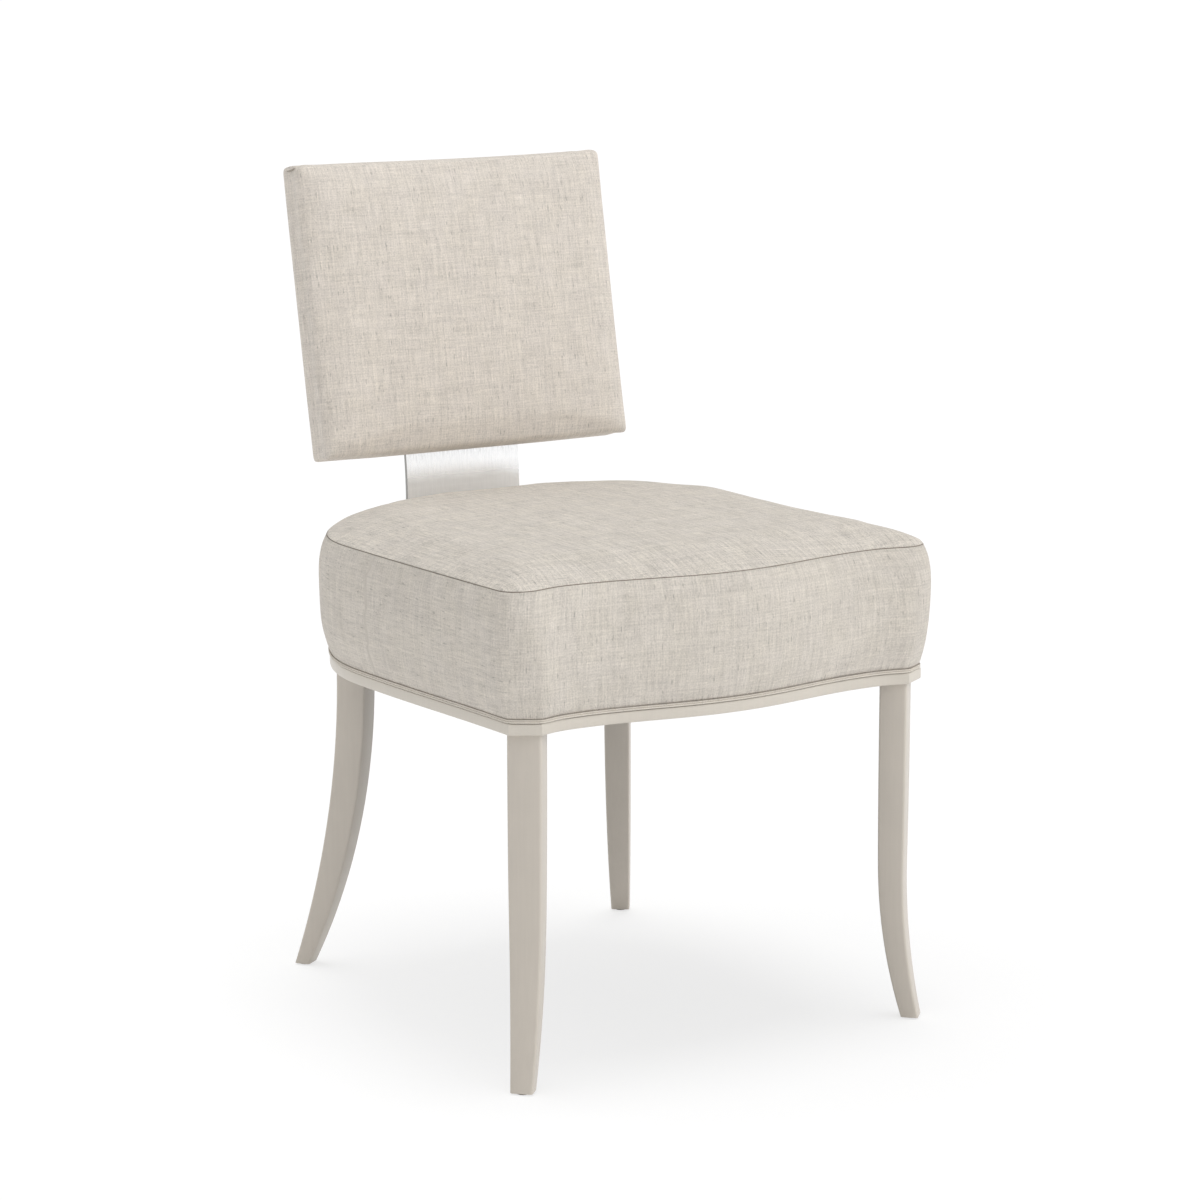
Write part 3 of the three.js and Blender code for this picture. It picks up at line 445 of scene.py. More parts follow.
def brushed_steel(name, colour):
    return shared_finish(
        name, BRUSHED_METAL, (0.04 * MM, 0.3), {"Metallic": 1}, Colour=colour, Roughness=0.22)


# Heights over which the strap's front gets darker streaks, a painted reflection of the back's underside,
# and over which its less metallic, lighter lower part fades out: painted light.
PAINTED_STREAKS_RISE = (538 * MM, 560 * MM)
PAINTED_LIGHT_FADES = (512 * MM, 536 * MM)


def steel_with_painted_reflections(name, colour):
    """Brushed steel with darker streaks below the back, a painted reflection of the back's underside, and a
    less metallic lower part above the seat that shows lighter: painted light.
    """
    material = brushed_steel(name, colour)
    graph = Graph(material.node_tree)
    surface = graph.nodes["Principled BSDF"]
    unstreaked = surface.inputs["Base Color"].links[0].from_socket
    place = graph.add("ShaderNodeTexCoord").outputs["Object"]
    height = graph.add("ShaderNodeSeparateXYZ", {0: place}).outputs[2]
    # Painted reflection: darker streaks just below the back stand for the back's underside seen in the
    # steel.
    painted_streak = graph.spread(graph.noise(place, (520, 520, 70), 3, 0.65), 0.46, 0.64, 0.0, -0.22)
    strokes = graph.math("MULTIPLY", graph.spread(height, *PAINTED_STREAKS_RISE, 0.0, 1.0), painted_streak)
    # Painted light: the lower front is less metallic, so it shows lighter where it would reflect the shaded
    # seat.
    graph.feed(surface, {
        "Base Color": graph.tinted(unstreaked, graph.math("ADD", strokes, 1)),
        "Metallic": graph.spread(height, *PAINTED_LIGHT_FADES, 0.5, 1.0),
    })
    return material


def plain_finish(name, colour, scale, change, roughness, metallic=0.0, depth=0.1 * MM):
    """A quieter finish for parts that are rarely seen: grain or grit in one direction."""
    return shared_finish(
        name, GRAIN, (depth, 0.6), {"Metallic": metallic},
        Colour=colour, Roughness=roughness, Stretch=scale, Change=change)


# Stage
WORLD_LEVEL = 0.56
FLOOR_SIZE = 60
FLOOR_GLOW = 0.69
FLOOR_SHARE = 0.345


def seen_by(graph):
    """One where a camera, mirror or glass ray looks, zero where light is gathered."""
    path = graph.add("ShaderNodeLightPath").outputs
    mirror = graph.math("MAXIMUM", path["Is Camera Ray"], path["Is Glossy Ray"])
    return graph.math("MAXIMUM", mirror, path["Is Transmission Ray"])


def light_world():
    world = bpy.data.worlds.new("studio")
    bpy.context.scene.world = world
    world.use_nodes = True
    graph = Graph(world.node_tree)
    graph.nodes.clear()
    lit = graph.add("ShaderNodeBackground", {"Color": WHITE, "Strength": WORLD_LEVEL})
    seen = graph.add("ShaderNodeBackground", {"Color": WHITE, "Strength": 1})
    mix = graph.add("ShaderNodeMixShader", {0: seen_by(graph), 1: lit.outputs[0], 2: seen.outputs[0]})
    graph.add("ShaderNodeOutputWorld", {0: mix.outputs[0]})


def lay_floor():
    clear_selection()
    bpy.ops.mesh.primitive_plane_add(size=FLOOR_SIZE, location=ORIGIN)
    floor = name_piece("studio_floor")
    constants = {"Roughness": 1, "Base Color": WHITE, "Specular IOR Level": 0}
    material, graph, surface = new_material("studio_floor", constants)
    glow = graph.add("ShaderNodeEmission", {"Strength": FLOOR_GLOW})
    shaded = graph.add("ShaderNodeBsdfDiffuse", {"Color": (FLOOR_SHARE, FLOOR_SHARE, FLOOR_SHARE, 1)})
    pale = graph.add("ShaderNodeAddShader", {0: glow.outputs[0], 1: shaded.outputs[0]})
    mix = graph.add("ShaderNodeMixShader", {0: seen_by(graph), 1: surface.outputs[0], 2: pale.outputs[0]})
    graph.feed(graph.nodes["Material Output"], {"Surface": mix.outputs[0]})
    dress(floor, material)
    return floor


def soft_sun(name, comes_from, level, degrees):
    data = bpy.data.lights.new(name, "SUN")
    data.energy = level * math.pi
    data.angle = math.radians(degrees)
    lamp = add_object(name, data)
    lamp.rotation_euler = Vector(comes_from).to_track_quat("Z", "Y").to_euler()
    return lamp


def link_to_floor(lamp, floor, state):
    """Lets a lamp reach only the floor, or everything but the floor."""
    reached = bpy.data.collections.new(f"{lamp.name}_floor")
    reached.objects.link(floor)
    lamp.light_linking.receiver_collection = reached
    reached.collection_objects[0].light_linking.link_state = state


def set_the_stage():
    light_world()
    floor = lay_floor()
    soft_sun("overhead", (-0.35, 0.35, 1.0), 0.18, 70)
    link_to_floor(soft_sun("front_fill", (0.72, -0.9, 1.0), 0.45, 50), floor, "EXCLUDE")
    link_to_floor(soft_sun("floor_light", (0.07, 0.0, 1.0), 0.28, 27), floor, "INCLUDE")


place_camera()
set_the_stage()
bpy.context.scene.view_settings.view_transform = "Standard"
LINEN = build_linen_group()
BRUSHED_PAINT = build_paint_group()
BRUSHED_METAL = build_brushing_group()
GRAIN = build_grain_group()

# The plan of the frame and of the seat: knots from the front middle round the right side,
# each with its place in millimetres and the directions in which the outline arrives and leaves
HANDLE_SHARE = 0.38
PLAN_STEPS = (16, 5, 6, 28, 16, 27)
GRID_ACROSS = 54
GRID_ALONG = 44
LIP_KNOTS = (
    (0, -256.5, 0, 0),
    (176, -236, 0, 0),
    (219, -244, -22, 31),
    (246.5, -227, 31, 89),
    (257, 55, 90, 90),
    (190, 232, 121, 136),
    (0, 290, 180, 180),
)
SEAM_KNOTS = (
    (0, -254.5, 0, 0),
    (184, -229.5, 0, 0),
    (221, -237, -12, -6),
    (252, -218, 84, 88),
    (258.5, 76, 90, 90),
    (186, 215, 136, 136),
    (0, 284, 180, 180),
)
LIP_HALF_WIDTH = 257 * MM
LIP_FRONT = 256.5 * MM
LIP_BACK = 290 * MM
PLAN_MIDDLE = (LIP_BACK - LIP_FRONT) / 2
PLAN_HALF_DEPTH = (LIP_BACK + LIP_FRONT) / 2
FRAME_UNDERSIDE = 357 * MM
LIP_HEIGHT = 11.8 * MM
LIP_ARRIS = 1.5 * MM
RAIL_HEIGHT = 68 * MM
SEAM_HEIGHT = 497.5 * MM
RAIL_RECESS = 11 * MM
RAIL_INSET = 33 * MM
LIP_TOP = FRAME_UNDERSIDE + LIP_HEIGHT
FIT = 0.3 * MM
STRAP_SEAT = STRAP_FRONT - FIT


def plan_points(knots):
    half = []
    for k in range(len(knots) - 1):
        here = Vector((knots[k][0], knots[k][1], 0)) * MM
        there = Vector((knots[k + 1][0], knots[k + 1][1], 0)) * MM
        reach = (there - here).length * HANDLE_SHARE
        leave, arrive = math.radians(knots[k][3]), math.radians(knots[k + 1][2])
        first = here + Vector((math.cos(leave), math.sin(leave), 0)) * reach
        second = there - Vector((math.cos(arrive), math.sin(arrive), 0)) * reach
        curve = interpolate_bezier(here, first, second, there, PLAN_STEPS[k] + 1)
        half += [Vector(p[:2]) for p in curve[:-1]]
    mirrored = [Vector((-p.x, p.y)) for p in reversed(half[1:])]
    return half + [Vector((0, knots[-1][1] * MM))] + mirrored


def drawn_in(outline, inset, flat=math.inf):
    across = 1 - inset / LIP_HALF_WIDTH
    along = 1 - inset / PLAN_HALF_DEPTH
    return [Vector((p.x * across, min(PLAN_MIDDLE + (p.y - PLAN_MIDDLE) * along, flat))) for p in outline]


LIP = plan_points(LIP_KNOTS)
SEAM = [Vector((p.x, min(p.y, STRAP_SEAT))) for p in plan_points(SEAM_KNOTS)]
AROUND = len(LIP)
FRONT_CORNER = sum(PLAN_STEPS[:3])
REAR_CORNER = sum(PLAN_STEPS[:5])


def outward(outline, i):
    before, after = outline[i - 1], outline[(i + 1) % len(outline)]
    return Vector((after.y - before.y, before.x - after.x)).normalized()


def smooth_step(value):
    t = min(max(value, 0), 1)
    return t * t * (3 - 2 * t)


def read_between(places, angle):
    """The value at an angle, read from pairs of angle and value that are sorted by angle."""
    low, high = 0, len(places) - 1
    while high - low > 1:
        middle = (low + high) // 2
        if places[middle][0] <= angle:
            low = middle
        else:
            high = middle
    (a, near), (b, far) = places[low], places[high]
    share = 0 if b == a else (angle - a) / (b - a)
    return near + (far - near) * min(max(share, 0), 1)


# Painted frame: one lip and its rails, with the joints filled under the paint
def make_frame():
    clear_selection()
    bpy.ops.mesh.primitive_circle_add(vertices=AROUND, radius=1, fill_type="NGON")
    piece = name_piece("painted_frame")
    shape = edit(piece, "VERT")

    def turn_of(vert):
        return math.atan2(vert.co.y, vert.co.x)

    by_angle = sorted(shape.verts, key=turn_of)
    start = min(range(AROUND), key=lambda i: abs(turn_of(by_angle[i]) + math.pi / 2))
    for i in range(AROUND):
        by_angle[(start + i) % AROUND].co = Vector((LIP[i].x, LIP[i].y - PLAN_MIDDLE, 0))
    bmesh.update_edit_mesh(piece.data)
    lip_places = {(round(p.x, 5), round(p.y - PLAN_MIDDLE, 5)) for p in LIP}

    def near_lip(vert):
        return (round(vert.co.x, 5), round(vert.co.y, 5)) in lip_places

    def on_rail(face):
        above = face.calc_center_median().z > LIP_HEIGHT / 2 and abs(face.normal.z) > 0.5
        return above and not any(near_lip(v) for v in face.verts)

    def lip_edge(edge):
        level = edge.verts[0].co.z == edge.verts[1].co.z
        return level and all(near_lip(v) for v in edge.verts)

    bpy.ops.mesh.select_mode(type="FACE")
    select_all()
    for inset in (RAIL_RECESS, RAIL_INSET - RAIL_RECESS):
        bpy.ops.mesh.inset(thickness=0, depth=0, use_boundary=True)
        resize(1 - inset / LIP_HALF_WIDTH, 1 - inset / PLAN_HALF_DEPTH)
    bpy.ops.mesh.delete(type="FACE")
    select_all()
    extrude((0, 0, LIP_HEIGHT))
    pick(piece, "faces", on_rail)
    extrude((0, 0, RAIL_HEIGHT - LIP_HEIGHT))
    face_outwards()
    bpy.ops.mesh.select_mode(type="EDGE")
    pick(piece, "edges", lip_edge)
    bevel_edges(LIP_ARRIS, 3, clamped=True)
    leave_edit()
    piece.location = (0, PLAN_Y + PLAN_MIDDLE, FRAME_UNDERSIDE)
    settle(piece)
    tidy_normals(piece)
    smooth_by_angle(piece, 28)
    # The frame takes a lighter copy of the leg paint: painted light.
    dress(piece, FRAME_PAINT_PAINTED_LIGHT)
    finish_piece(piece, "paint", "front_rail", "left_side_rail", "right_side_rail", "rear_rail")


# Sabre legs
LEG_ARRIS = 2.6 * MM
LEG_SECTIONS = 22
GLIDE_THICKNESS = 1.6 * MM
FRONT_LEG = dict(x=220.5, y=-218.5, turn=45, top=(34, 28), foot=(22.5, 18), kick=165, radius=635)
REAR_LEG = dict(x=166, y=224.5, turn=53.8, top=(28.5, 33), foot=(20.5, 17), kick=325, radius=845)


def leg_section(leg, height):
    """How far out, how wide and how deep the leg is at a height."""
    share = 1 - (1 - height / FRAME_UNDERSIDE) ** 3
    width = (leg["foot"][0] + (leg["top"][0] - leg["foot"][0]) * share) * MM
    depth = (leg["foot"][1] + (leg["top"][1] - leg["foot"][1]) * share) * MM
    drop = max(leg["kick"] * MM - height, 0)
    radius = leg["radius"] * MM
    return radius - math.sqrt(radius ** 2 - drop ** 2), width, depth


def stand_at_leg(piece, leg, side, height):
    """Turns a piece as the leg is turned and puts it on the leg's axis."""
    turn = leg["turn"] if side > 0 else 180 - leg["turn"]
    piece.rotation_euler = (0, 0, math.radians(-turn if leg["y"] < 0 else turn))
    piece.location = (side * leg["x"] * MM, leg["y"] * MM + PLAN_Y, height)
    settle(piece)


def make_leg(end, word, leg, side):
    clear_selection()
    bpy.ops.mesh.primitive_plane_add(size=1, location=ORIGIN)
    piece = name_piece(f"{end}_{word}_sabre_leg")
    edit(piece, "FACE")
    select_all()
    out, width, depth = leg_section(leg, GLIDE_THICKNESS)
    resize(depth, width)
    bpy.ops.transform.translate(value=(out, 0, GLIDE_THICKNESS))
    before = (out, width, depth, GLIDE_THICKNESS)
    for i in range(1, LEG_SECTIONS + 1):
        share = (i / LEG_SECTIONS) ** 1.25
        height = GLIDE_THICKNESS + (FRAME_UNDERSIDE - GLIDE_THICKNESS) * share
        out, width, depth = leg_section(leg, height)
        extrude((out - before[0], 0, height - before[3]))
        resize(depth / before[2], width / before[1], (out, 0, height))
        before = (out, width, depth, height)
    face_outwards()
    bpy.ops.mesh.select_mode(type="EDGE")
    pick(piece, "edges", lambda e: abs(e.verts[0].co.z - e.verts[1].co.z) > 1 * MM)
    bevel_edges(LEG_ARRIS * 0.9, 3)
    leave_edit()
    stand_at_leg(piece, leg, side, 0)
    tidy_normals(piece)
    smooth_by_angle(piece, 40)
    dress(piece, PAINT)
    finish_piece(piece, "paint", f"{end}_{word}_leg")


# Steel strap
STRAP_WIDTH = 141.5 * MM
STRAP_THICKNESS = 4.8 * MM
STRAP_BEND_RADIUS = 414 * MM
STRAP_TOP_LENGTH = 172 * MM
STRAP_CORNER = 9 * MM
STRAP_ARRIS = 0.5 * MM
BACK_LEAN = math.radians(11.13)


def make_strap():
    clear_selection()
    bpy.ops.mesh.primitive_plane_add(size=1, location=ORIGIN)
    piece = name_piece("steel_strap")
    edit(piece, "FACE")
    select_all()
    resize(STRAP_WIDTH, STRAP_THICKNESS)
    bpy.ops.transform.translate(value=(0, STRAP_FRONT + STRAP_THICKNESS / 2 + PLAN_Y, LIP_TOP))
    extrude((0, 0, SEAM_HEIGHT - LIP_TOP))
    bpy.ops.mesh.spin(
        steps=24, angle=BACK_LEAN, axis=(1, 0, 0),
        center=(0, STRAP_FRONT + STRAP_BEND_RADIUS + PLAN_Y, SEAM_HEIGHT))
    top = highest(piece)
    pick(piece, "faces", lambda f: f.calc_center_median().z > top - 1.2 * MM and f.normal.z > 0.7)
    extrude(Vector((0, math.sin(BACK_LEAN), math.cos(BACK_LEAN))) * STRAP_TOP_LENGTH)
    select_all()
    bpy.ops.mesh.remove_doubles(threshold=MERGE_DISTANCE)
    bpy.ops.mesh.normals_make_consistent(inside=False)
    bpy.ops.mesh.select_mode(type="EDGE")
    top = highest(piece)

    def top_corner(edge):
        run = edge.verts[0].co - edge.verts[1].co
        through = abs(run.x) < 0.1 * MM and run.length < STRAP_THICKNESS * 1.2
        return middle_of(edge).z > top - 3 * MM and through

    pick(piece, "edges", top_corner)
    bevel_edges(STRAP_CORNER, 8)
    pick(piece, "edges", lambda e: e.is_manifold and e.calc_face_angle(0) > math.radians(60))
    bevel_edges(STRAP_ARRIS, 2)
    leave_edit()
    tidy_normals(piece)
    smooth_by_angle(piece, 30)
    dress(piece, STEEL, STEEL_EDGE_PAINTED_SHADE, STEEL_FRONT_PAINTED_LIGHT)
    # The strap's sides take a near-black copy of the steel, which is painted shade, and its front takes a
    # near-white copy, which is painted light.
    for face in piece.data.polygons:
        if abs(face.normal.x) > 0.8:
            face.material_index = 1
        elif face.normal.y < -0.8:
            face.material_index = 2
    finish_piece(piece, "steel", "back_strap")


# Button-headed bolts with a hexagon socket
BOLT_RADIUS = 3 * MM
BOLT_LENGTH = 22 * MM
BOLT_HEAD_RADIUS = 7 * MM
BOLT_HEAD_HEIGHT = 3.6 * MM
SOCKET_RADIUS = 2.3 * MM
SOCKET_DEPTH = 2 * MM
BOLT_SPREAD_X = 92 * MM
LOWER_BOLT_HEIGHT = 392 * MM
LOWER_BOLT_SPREAD = 20 * MM
UPPER_BOLT_UP = 62 * MM
UPPER_BOLT_SPREAD = 78 * MM


def make_bolt_pattern():
    clear_selection()
    bpy.ops.mesh.primitive_cylinder_add(
        vertices=36, radius=BOLT_HEAD_RADIUS, depth=BOLT_HEAD_HEIGHT, location=(0, 0, BOLT_HEAD_HEIGHT / 2))
    pattern = name_piece("button_bolt")
    settle(pattern)
    edit(pattern, "EDGE")
    pick(pattern, "edges", lambda e: middle_of(e).z > BOLT_HEAD_HEIGHT * 0.9)
    bevel_edges(BOLT_HEAD_HEIGHT * 0.8, 5)
    bpy.ops.mesh.select_mode(type="FACE")
    pick(pattern, "faces", lambda f: f.normal.z < -0.9)
    bpy.ops.mesh.inset(thickness=BOLT_HEAD_RADIUS - BOLT_RADIUS)
    extrude((0, 0, -BOLT_LENGTH))
    leave_edit()
    clear_selection()
    bpy.ops.mesh.primitive_cylinder_add(
        vertices=6, radius=SOCKET_RADIUS, depth=SOCKET_DEPTH * 2, location=(0, 0, BOLT_HEAD_HEIGHT))
    cut_away(pattern, name_piece("socket"))
    smooth_by_angle(pattern, 30)
    dress(pattern, BOLT_STEEL)
    return pattern


def make_bolts():
    pattern = make_bolt_pattern()
    corners = ((-1, 0), (1, 0), (-1, 1), (1, 1))
    for row in ("lower", "upper"):
        for number, (side, level) in enumerate(corners, 1):
            copy = add_object(f"{row}_button_bolt_{number}", pattern.data.copy())
            copy.data.name = copy.name
            x = side * BOLT_SPREAD_X / 2
            if row == "lower":
                reach = STRAP_FRONT + STRAP_THICKNESS + FIT + PLAN_Y
                place, tilt = Vector((x, reach, LOWER_BOLT_HEIGHT + level * LOWER_BOLT_SPREAD)), 0
            else:
                up = UPPER_BOLT_UP + level * UPPER_BOLT_SPREAD
                local = Vector((x, STRAP_REST + STRAP_THICKNESS + FIT, up))
                place, tilt = back_place() + Matrix.Rotation(-BACK_LEAN, 3, "X") @ local, -BACK_LEAN
            copy.rotation_euler = (tilt - math.pi / 2, 0, 0)
            copy.location = place
            settle(copy)
            finish_piece(copy, "steel", f"{row}_strap_bolt_{number}")
    bpy.data.objects.remove(pattern)


# Soft pieces: closed forms of rings and grids, swelled by cloth simulation
def ring_faces(rings, around):
    """The squares between rings of points, each ring closed on itself."""
    faces = []
    for r in range(rings - 1):
        for i in range(around):
            j = (i + 1) % around
            faces.append((r * around + i, r * around + j, (r + 1) * around + j, (r + 1) * around + i))
    return faces


def shape_piece(name, points, faces):
    data = bpy.data.meshes.new(name)
    data.from_pydata([tuple(p) for p in points], [], faces)
    data.update()
    return add_object(name, data)


def make_tube(name, rings):
    """A closed piece from rings of points, with a flat face at each end."""
    around = len(rings[0])
    points = [p for ring in rings for p in ring]
    ends = [tuple(range(around)), tuple(range(len(points) - around, len(points)))[::-1]]
    piece = shape_piece(name, points, ring_faces(len(rings), around) + ends)
    tidy_normals(piece)
    return piece


CLOTH_FRAMES = 20
CLOTH = dict(
    quality=6, mass=0.3, tension_stiffness=25, compression_stiffness=25, shear_stiffness=8,
    bending_stiffness=1.5, use_pressure=True, vertex_group_mass="held")


def blow_up(piece, pressure):
    """Runs the cloth simulation and keeps its last shape."""
    work_on(piece)
    cloth = piece.modifiers.new("cloth", "CLOTH")
    for name, value in CLOTH.items():
        setattr(cloth.settings, name, value)
    cloth.settings.uniform_pressure_force = pressure
    cloth.settings.effector_weights.gravity = 0
    cloth.collision_settings.use_self_collision = False
    cloth.point_cache.frame_start = 1
    cloth.point_cache.frame_end = CLOTH_FRAMES
    for number in range(1, CLOTH_FRAMES + 1):
        bpy.context.scene.frame_set(number)
    bpy.ops.object.modifier_apply(modifier="cloth")
    bpy.context.scene.frame_set(1)


def swell(piece, held, pressure, cap, evening):
    """Stuffs the form. Held corners stay, moves are evened out, and none is more than cap."""
    rest = [v.co.copy() for v in piece.data.vertices]
    group = piece.vertex_groups.new(name="held")
    for i, weight in enumerate(held):
        if weight > 0:
            group.add([i], weight, "REPLACE")
    blow_up(piece, pressure)
    moves = [v.co - was for v, was in zip(piece.data.vertices, rest)]
    beside = [[] for i in moves]
    for edge in piece.data.edges:
        a, b = edge.vertices
        beside[a].append(b)
        beside[b].append(a)
    for turn in range(evening):
        moves = [
            move if held[i] == 1 else move.lerp(
                sum((moves[n] for n in beside[i]), Vector()) / len(beside[i]), 0.5)
            for i, move in enumerate(moves)]
    furthest = max(move.length for move in moves)
    for v, was, move in zip(piece.data.vertices, rest, moves):
        v.co = was + move * min(1, cap / max(move.length, 1e-9))
    print(f"{piece.name}: cloth moved {furthest / MM:.1f} mm at most, kept under {cap / MM:.1f} mm")
    piece.vertex_groups.remove(piece.vertex_groups["held"])


def weave_map(piece, lay):
    """Lays the cloth's own threads on the faces: lay gives each corner's place in the weave."""
    layer = piece.data.uv_layers.new(name="weave")
    for face in piece.data.polygons:
        for loop in face.loop_indices:
            corner = piece.data.vertices[piece.data.loops[loop].vertex_index].co
            layer.data[loop].uv = lay(face, corner)


# Seat
BOXING_SETBACK = 1.2 * MM
BOXING_LOW = LIP_TOP + FIT
BOXING_RINGS = 13
BULGE_POWER = 3.3
BOXING_BULGE = 9.8 * MM
BULGE_SKEW = 1.15
SEAM_TUCK = 0.8 * MM
SEAM_WIDTH = 0.54 * MM
SEAM_DEPTH = 0.9 * MM
FLAT_MARGIN = 32 * MM
FLAT_SPREAD = 110 * MM
EDGE_RISE = 12.2 * MM
EDGE_ROLL = 40 * MM
SEAT_CROWN = 8 * MM
SWELL_RISE = 1 * MM
SWELL_CROWN = 2.5 * MM
PULL = 0.9 * MM
PUCKER = 0.7 * MM
GATHER = 0.6 * MM
TOP_DRAWN = (0.006, 0.016, 0.03, 0.048, 0.07, 0.1, 0.14)
FOOT = drawn_in(LIP, BOXING_SETBACK, STRAP_SEAT)


def seat_angle(p):
    return math.atan2(p.y - PLAN_MIDDLE, p.x)


def measure_seam():
    """The seam by angle: how far it is from the middle, and the distance run round it."""
    order = sorted(SEAM, key=seat_angle)
    far = [(seat_angle(p), math.hypot(p.x, p.y - PLAN_MIDDLE)) for p in order]
    closed = [(far[-1][0] - math.tau, far[-1][1])] + far + [(far[0][0] + math.tau, far[0][1])]
    run, runs = 0, [(seat_angle(order[0]), 0)]
    for before, here in zip(order, order[1:]):
        run += (here - before).length
        runs.append((seat_angle(here), run))
    return closed, runs


SEAM_REACH, SEAM_RUN = measure_seam()


def perimeter_place(corner):
    """Distance round the seat, for threads that stand upright all round the boxing."""
    return read_between(SEAM_RUN, math.atan2(corner.y - PLAN_Y - PLAN_MIDDLE, corner.x))


def swell_at(p):
    if p.y < 0:
        return 1
    return smooth_step((abs(p.x) - STRAP_WIDTH / 2 - FLAT_MARGIN) / FLAT_SPREAD)


def boxing_point(i, share):
    low, high = FOOT[i], SEAM[i]
    away = outward(FOOT, i).lerp(outward(SEAM, i), share).normalized()
    fullness = 1 - abs(2 * share ** BULGE_SKEW - 1) ** BULGE_POWER
    reach = BOXING_BULGE * fullness * swell_at(high) - SEAM_TUCK * share ** 8
    place = low.lerp(high, share) + away * reach
    return Vector((place.x, place.y, BOXING_LOW + (SEAM_HEIGHT - BOXING_LOW) * share))


def top_rise(inset, drawn, rise, crown):
    roll = 1 - min(inset / EDGE_ROLL, 1)
    return rise * math.sqrt(1 - roll ** 2) + crown * (1 - (1 - drawn) ** 2)


def top_point(i, drawn, rise, crown):
    edge = SEAM[i]
    inset = math.hypot(edge.x, edge.y - PLAN_MIDDLE) * drawn
    tuck = SEAM_TUCK * (1 - min(inset / EDGE_ROLL, 1))
    away = outward(SEAM, i)
    x = edge.x * (1 - drawn) - away.x * tuck
    y = PLAN_MIDDLE + (edge.y - PLAN_MIDDLE) * (1 - drawn) - away.y * tuck
    return Vector((x, y, SEAM_HEIGHT + top_rise(inset, drawn, rise, crown)))


def grid_inside(ring, height):
    """Fills a ring with a grid of squares, four-cornered as the plan is. Returns inner points
    and faces; a face's corners are ring numbers, or inner numbers counted on from the ring."""
    corners = (AROUND - FRONT_CORNER, FRONT_CORNER, REAR_CORNER, AROUND - REAR_CORNER)
    bottom = [ring[(corners[0] + i) % AROUND] for i in range(GRID_ACROSS + 1)]
    right = [ring[corners[1] + i] for i in range(GRID_ALONG + 1)]
    top = [ring[corners[3] - i] for i in range(GRID_ACROSS + 1)]
    left = [ring[corners[0] - i] for i in range(GRID_ALONG + 1)]
    number = {}
    for i in range(GRID_ACROSS + 1):
        number[i, 0] = (corners[0] + i) % AROUND
        number[i, GRID_ALONG] = corners[3] - i
    for j in range(GRID_ALONG + 1):
        number[0, j] = corners[0] - j
        number[GRID_ACROSS, j] = corners[1] + j
    inner = []
    for j in range(1, GRID_ALONG):
        for i in range(1, GRID_ACROSS):
            u, v = i / GRID_ACROSS, j / GRID_ALONG
            place = (
                bottom[i] * (1 - v) + top[i] * v + left[j] * (1 - u) + right[j] * u
                - bottom[0] * ((1 - u) * (1 - v)) - bottom[-1] * (u * (1 - v))
                - top[0] * ((1 - u) * v) - top[-1] * (u * v))
            number[i, j] = AROUND + len(inner)
            inner.append(height(place))
    faces = []
    for j in range(GRID_ALONG):
        for i in range(GRID_ACROSS):
            faces.append((number[i, j], number[i + 1, j], number[i + 1, j + 1], number[i, j + 1]))
    return inner, faces


def seat_form(rise, crown):
    """The closed seat form: points and faces."""
    rings = [[boxing_point(i, k / BOXING_RINGS) for i in range(AROUND)] for k in range(BOXING_RINGS + 1)]
    rings += [[top_point(i, drawn, rise, crown) for i in range(AROUND)] for drawn in TOP_DRAWN]
    points = [p for ring in rings for p in ring]
    faces = ring_faces(len(rings), AROUND)

    def crowned(place):
        far = read_between(SEAM_REACH, seat_angle(place))
        ratio = math.hypot(place.x, place.y - PLAN_MIDDLE) / far
        place.z = SEAM_HEIGHT + top_rise(far * (1 - ratio), 1 - ratio, rise, crown)
        return place

    def add_grid(number, height, turned):
        inner, cells = grid_inside(rings[number], height)
        base, offset = len(points), number % len(rings) * AROUND
        points.extend(inner)
        for cell in cells:
            face = tuple(offset + n if n < AROUND else base + n - AROUND for n in cell)
            faces.append(tuple(reversed(face)) if turned else face)

    add_grid(-1, crowned, False)
    add_grid(0, lambda place: place, True)
    return points, faces


def crease_seam(piece, seam):
    """Keeps the seam sharp through the subdivision."""
    shape = bmesh.new()
    shape.from_mesh(piece.data)
    crease = shape.edges.layers.float.new("crease_edge")
    for edge in shape.edges:
        if edge.verts[0].index in seam and edge.verts[1].index in seam:
            edge[crease] = 1.0
    shape.to_mesh(piece.data)
    shape.free()


def sew_seam(piece):
    """Bevels the seam, pulls its middle in, and returns the numbers of its faces."""
    shape = edit(piece, "EDGE")
    weights = shape.verts.layers.deform.verify()
    group = piece.vertex_groups["seam"].index
    for edge in shape.edges:
        edge.select_set(all(v[weights].get(group, 0) > 0.98 for v in edge.verts))
    bmesh.update_edit_mesh(piece.data)
    bevel_edges(SEAM_WIDTH, 2)
    shape = bmesh.from_edit_mesh(piece.data)
    shape.faces.index_update()
    groove = {face.index for face in shape.faces if face.select}
    leave_edit()
    uses = {}
    for number in groove:
        for corner in piece.data.polygons[number].vertices:
            uses[corner] = uses.get(corner, 0) + 1
    middle = [(i, piece.data.vertices[i].normal.copy()) for i, times in uses.items() if times >= 4]
    for corner, normal in middle:
        piece.data.vertices[corner].co -= normal * SEAM_DEPTH
    return groove


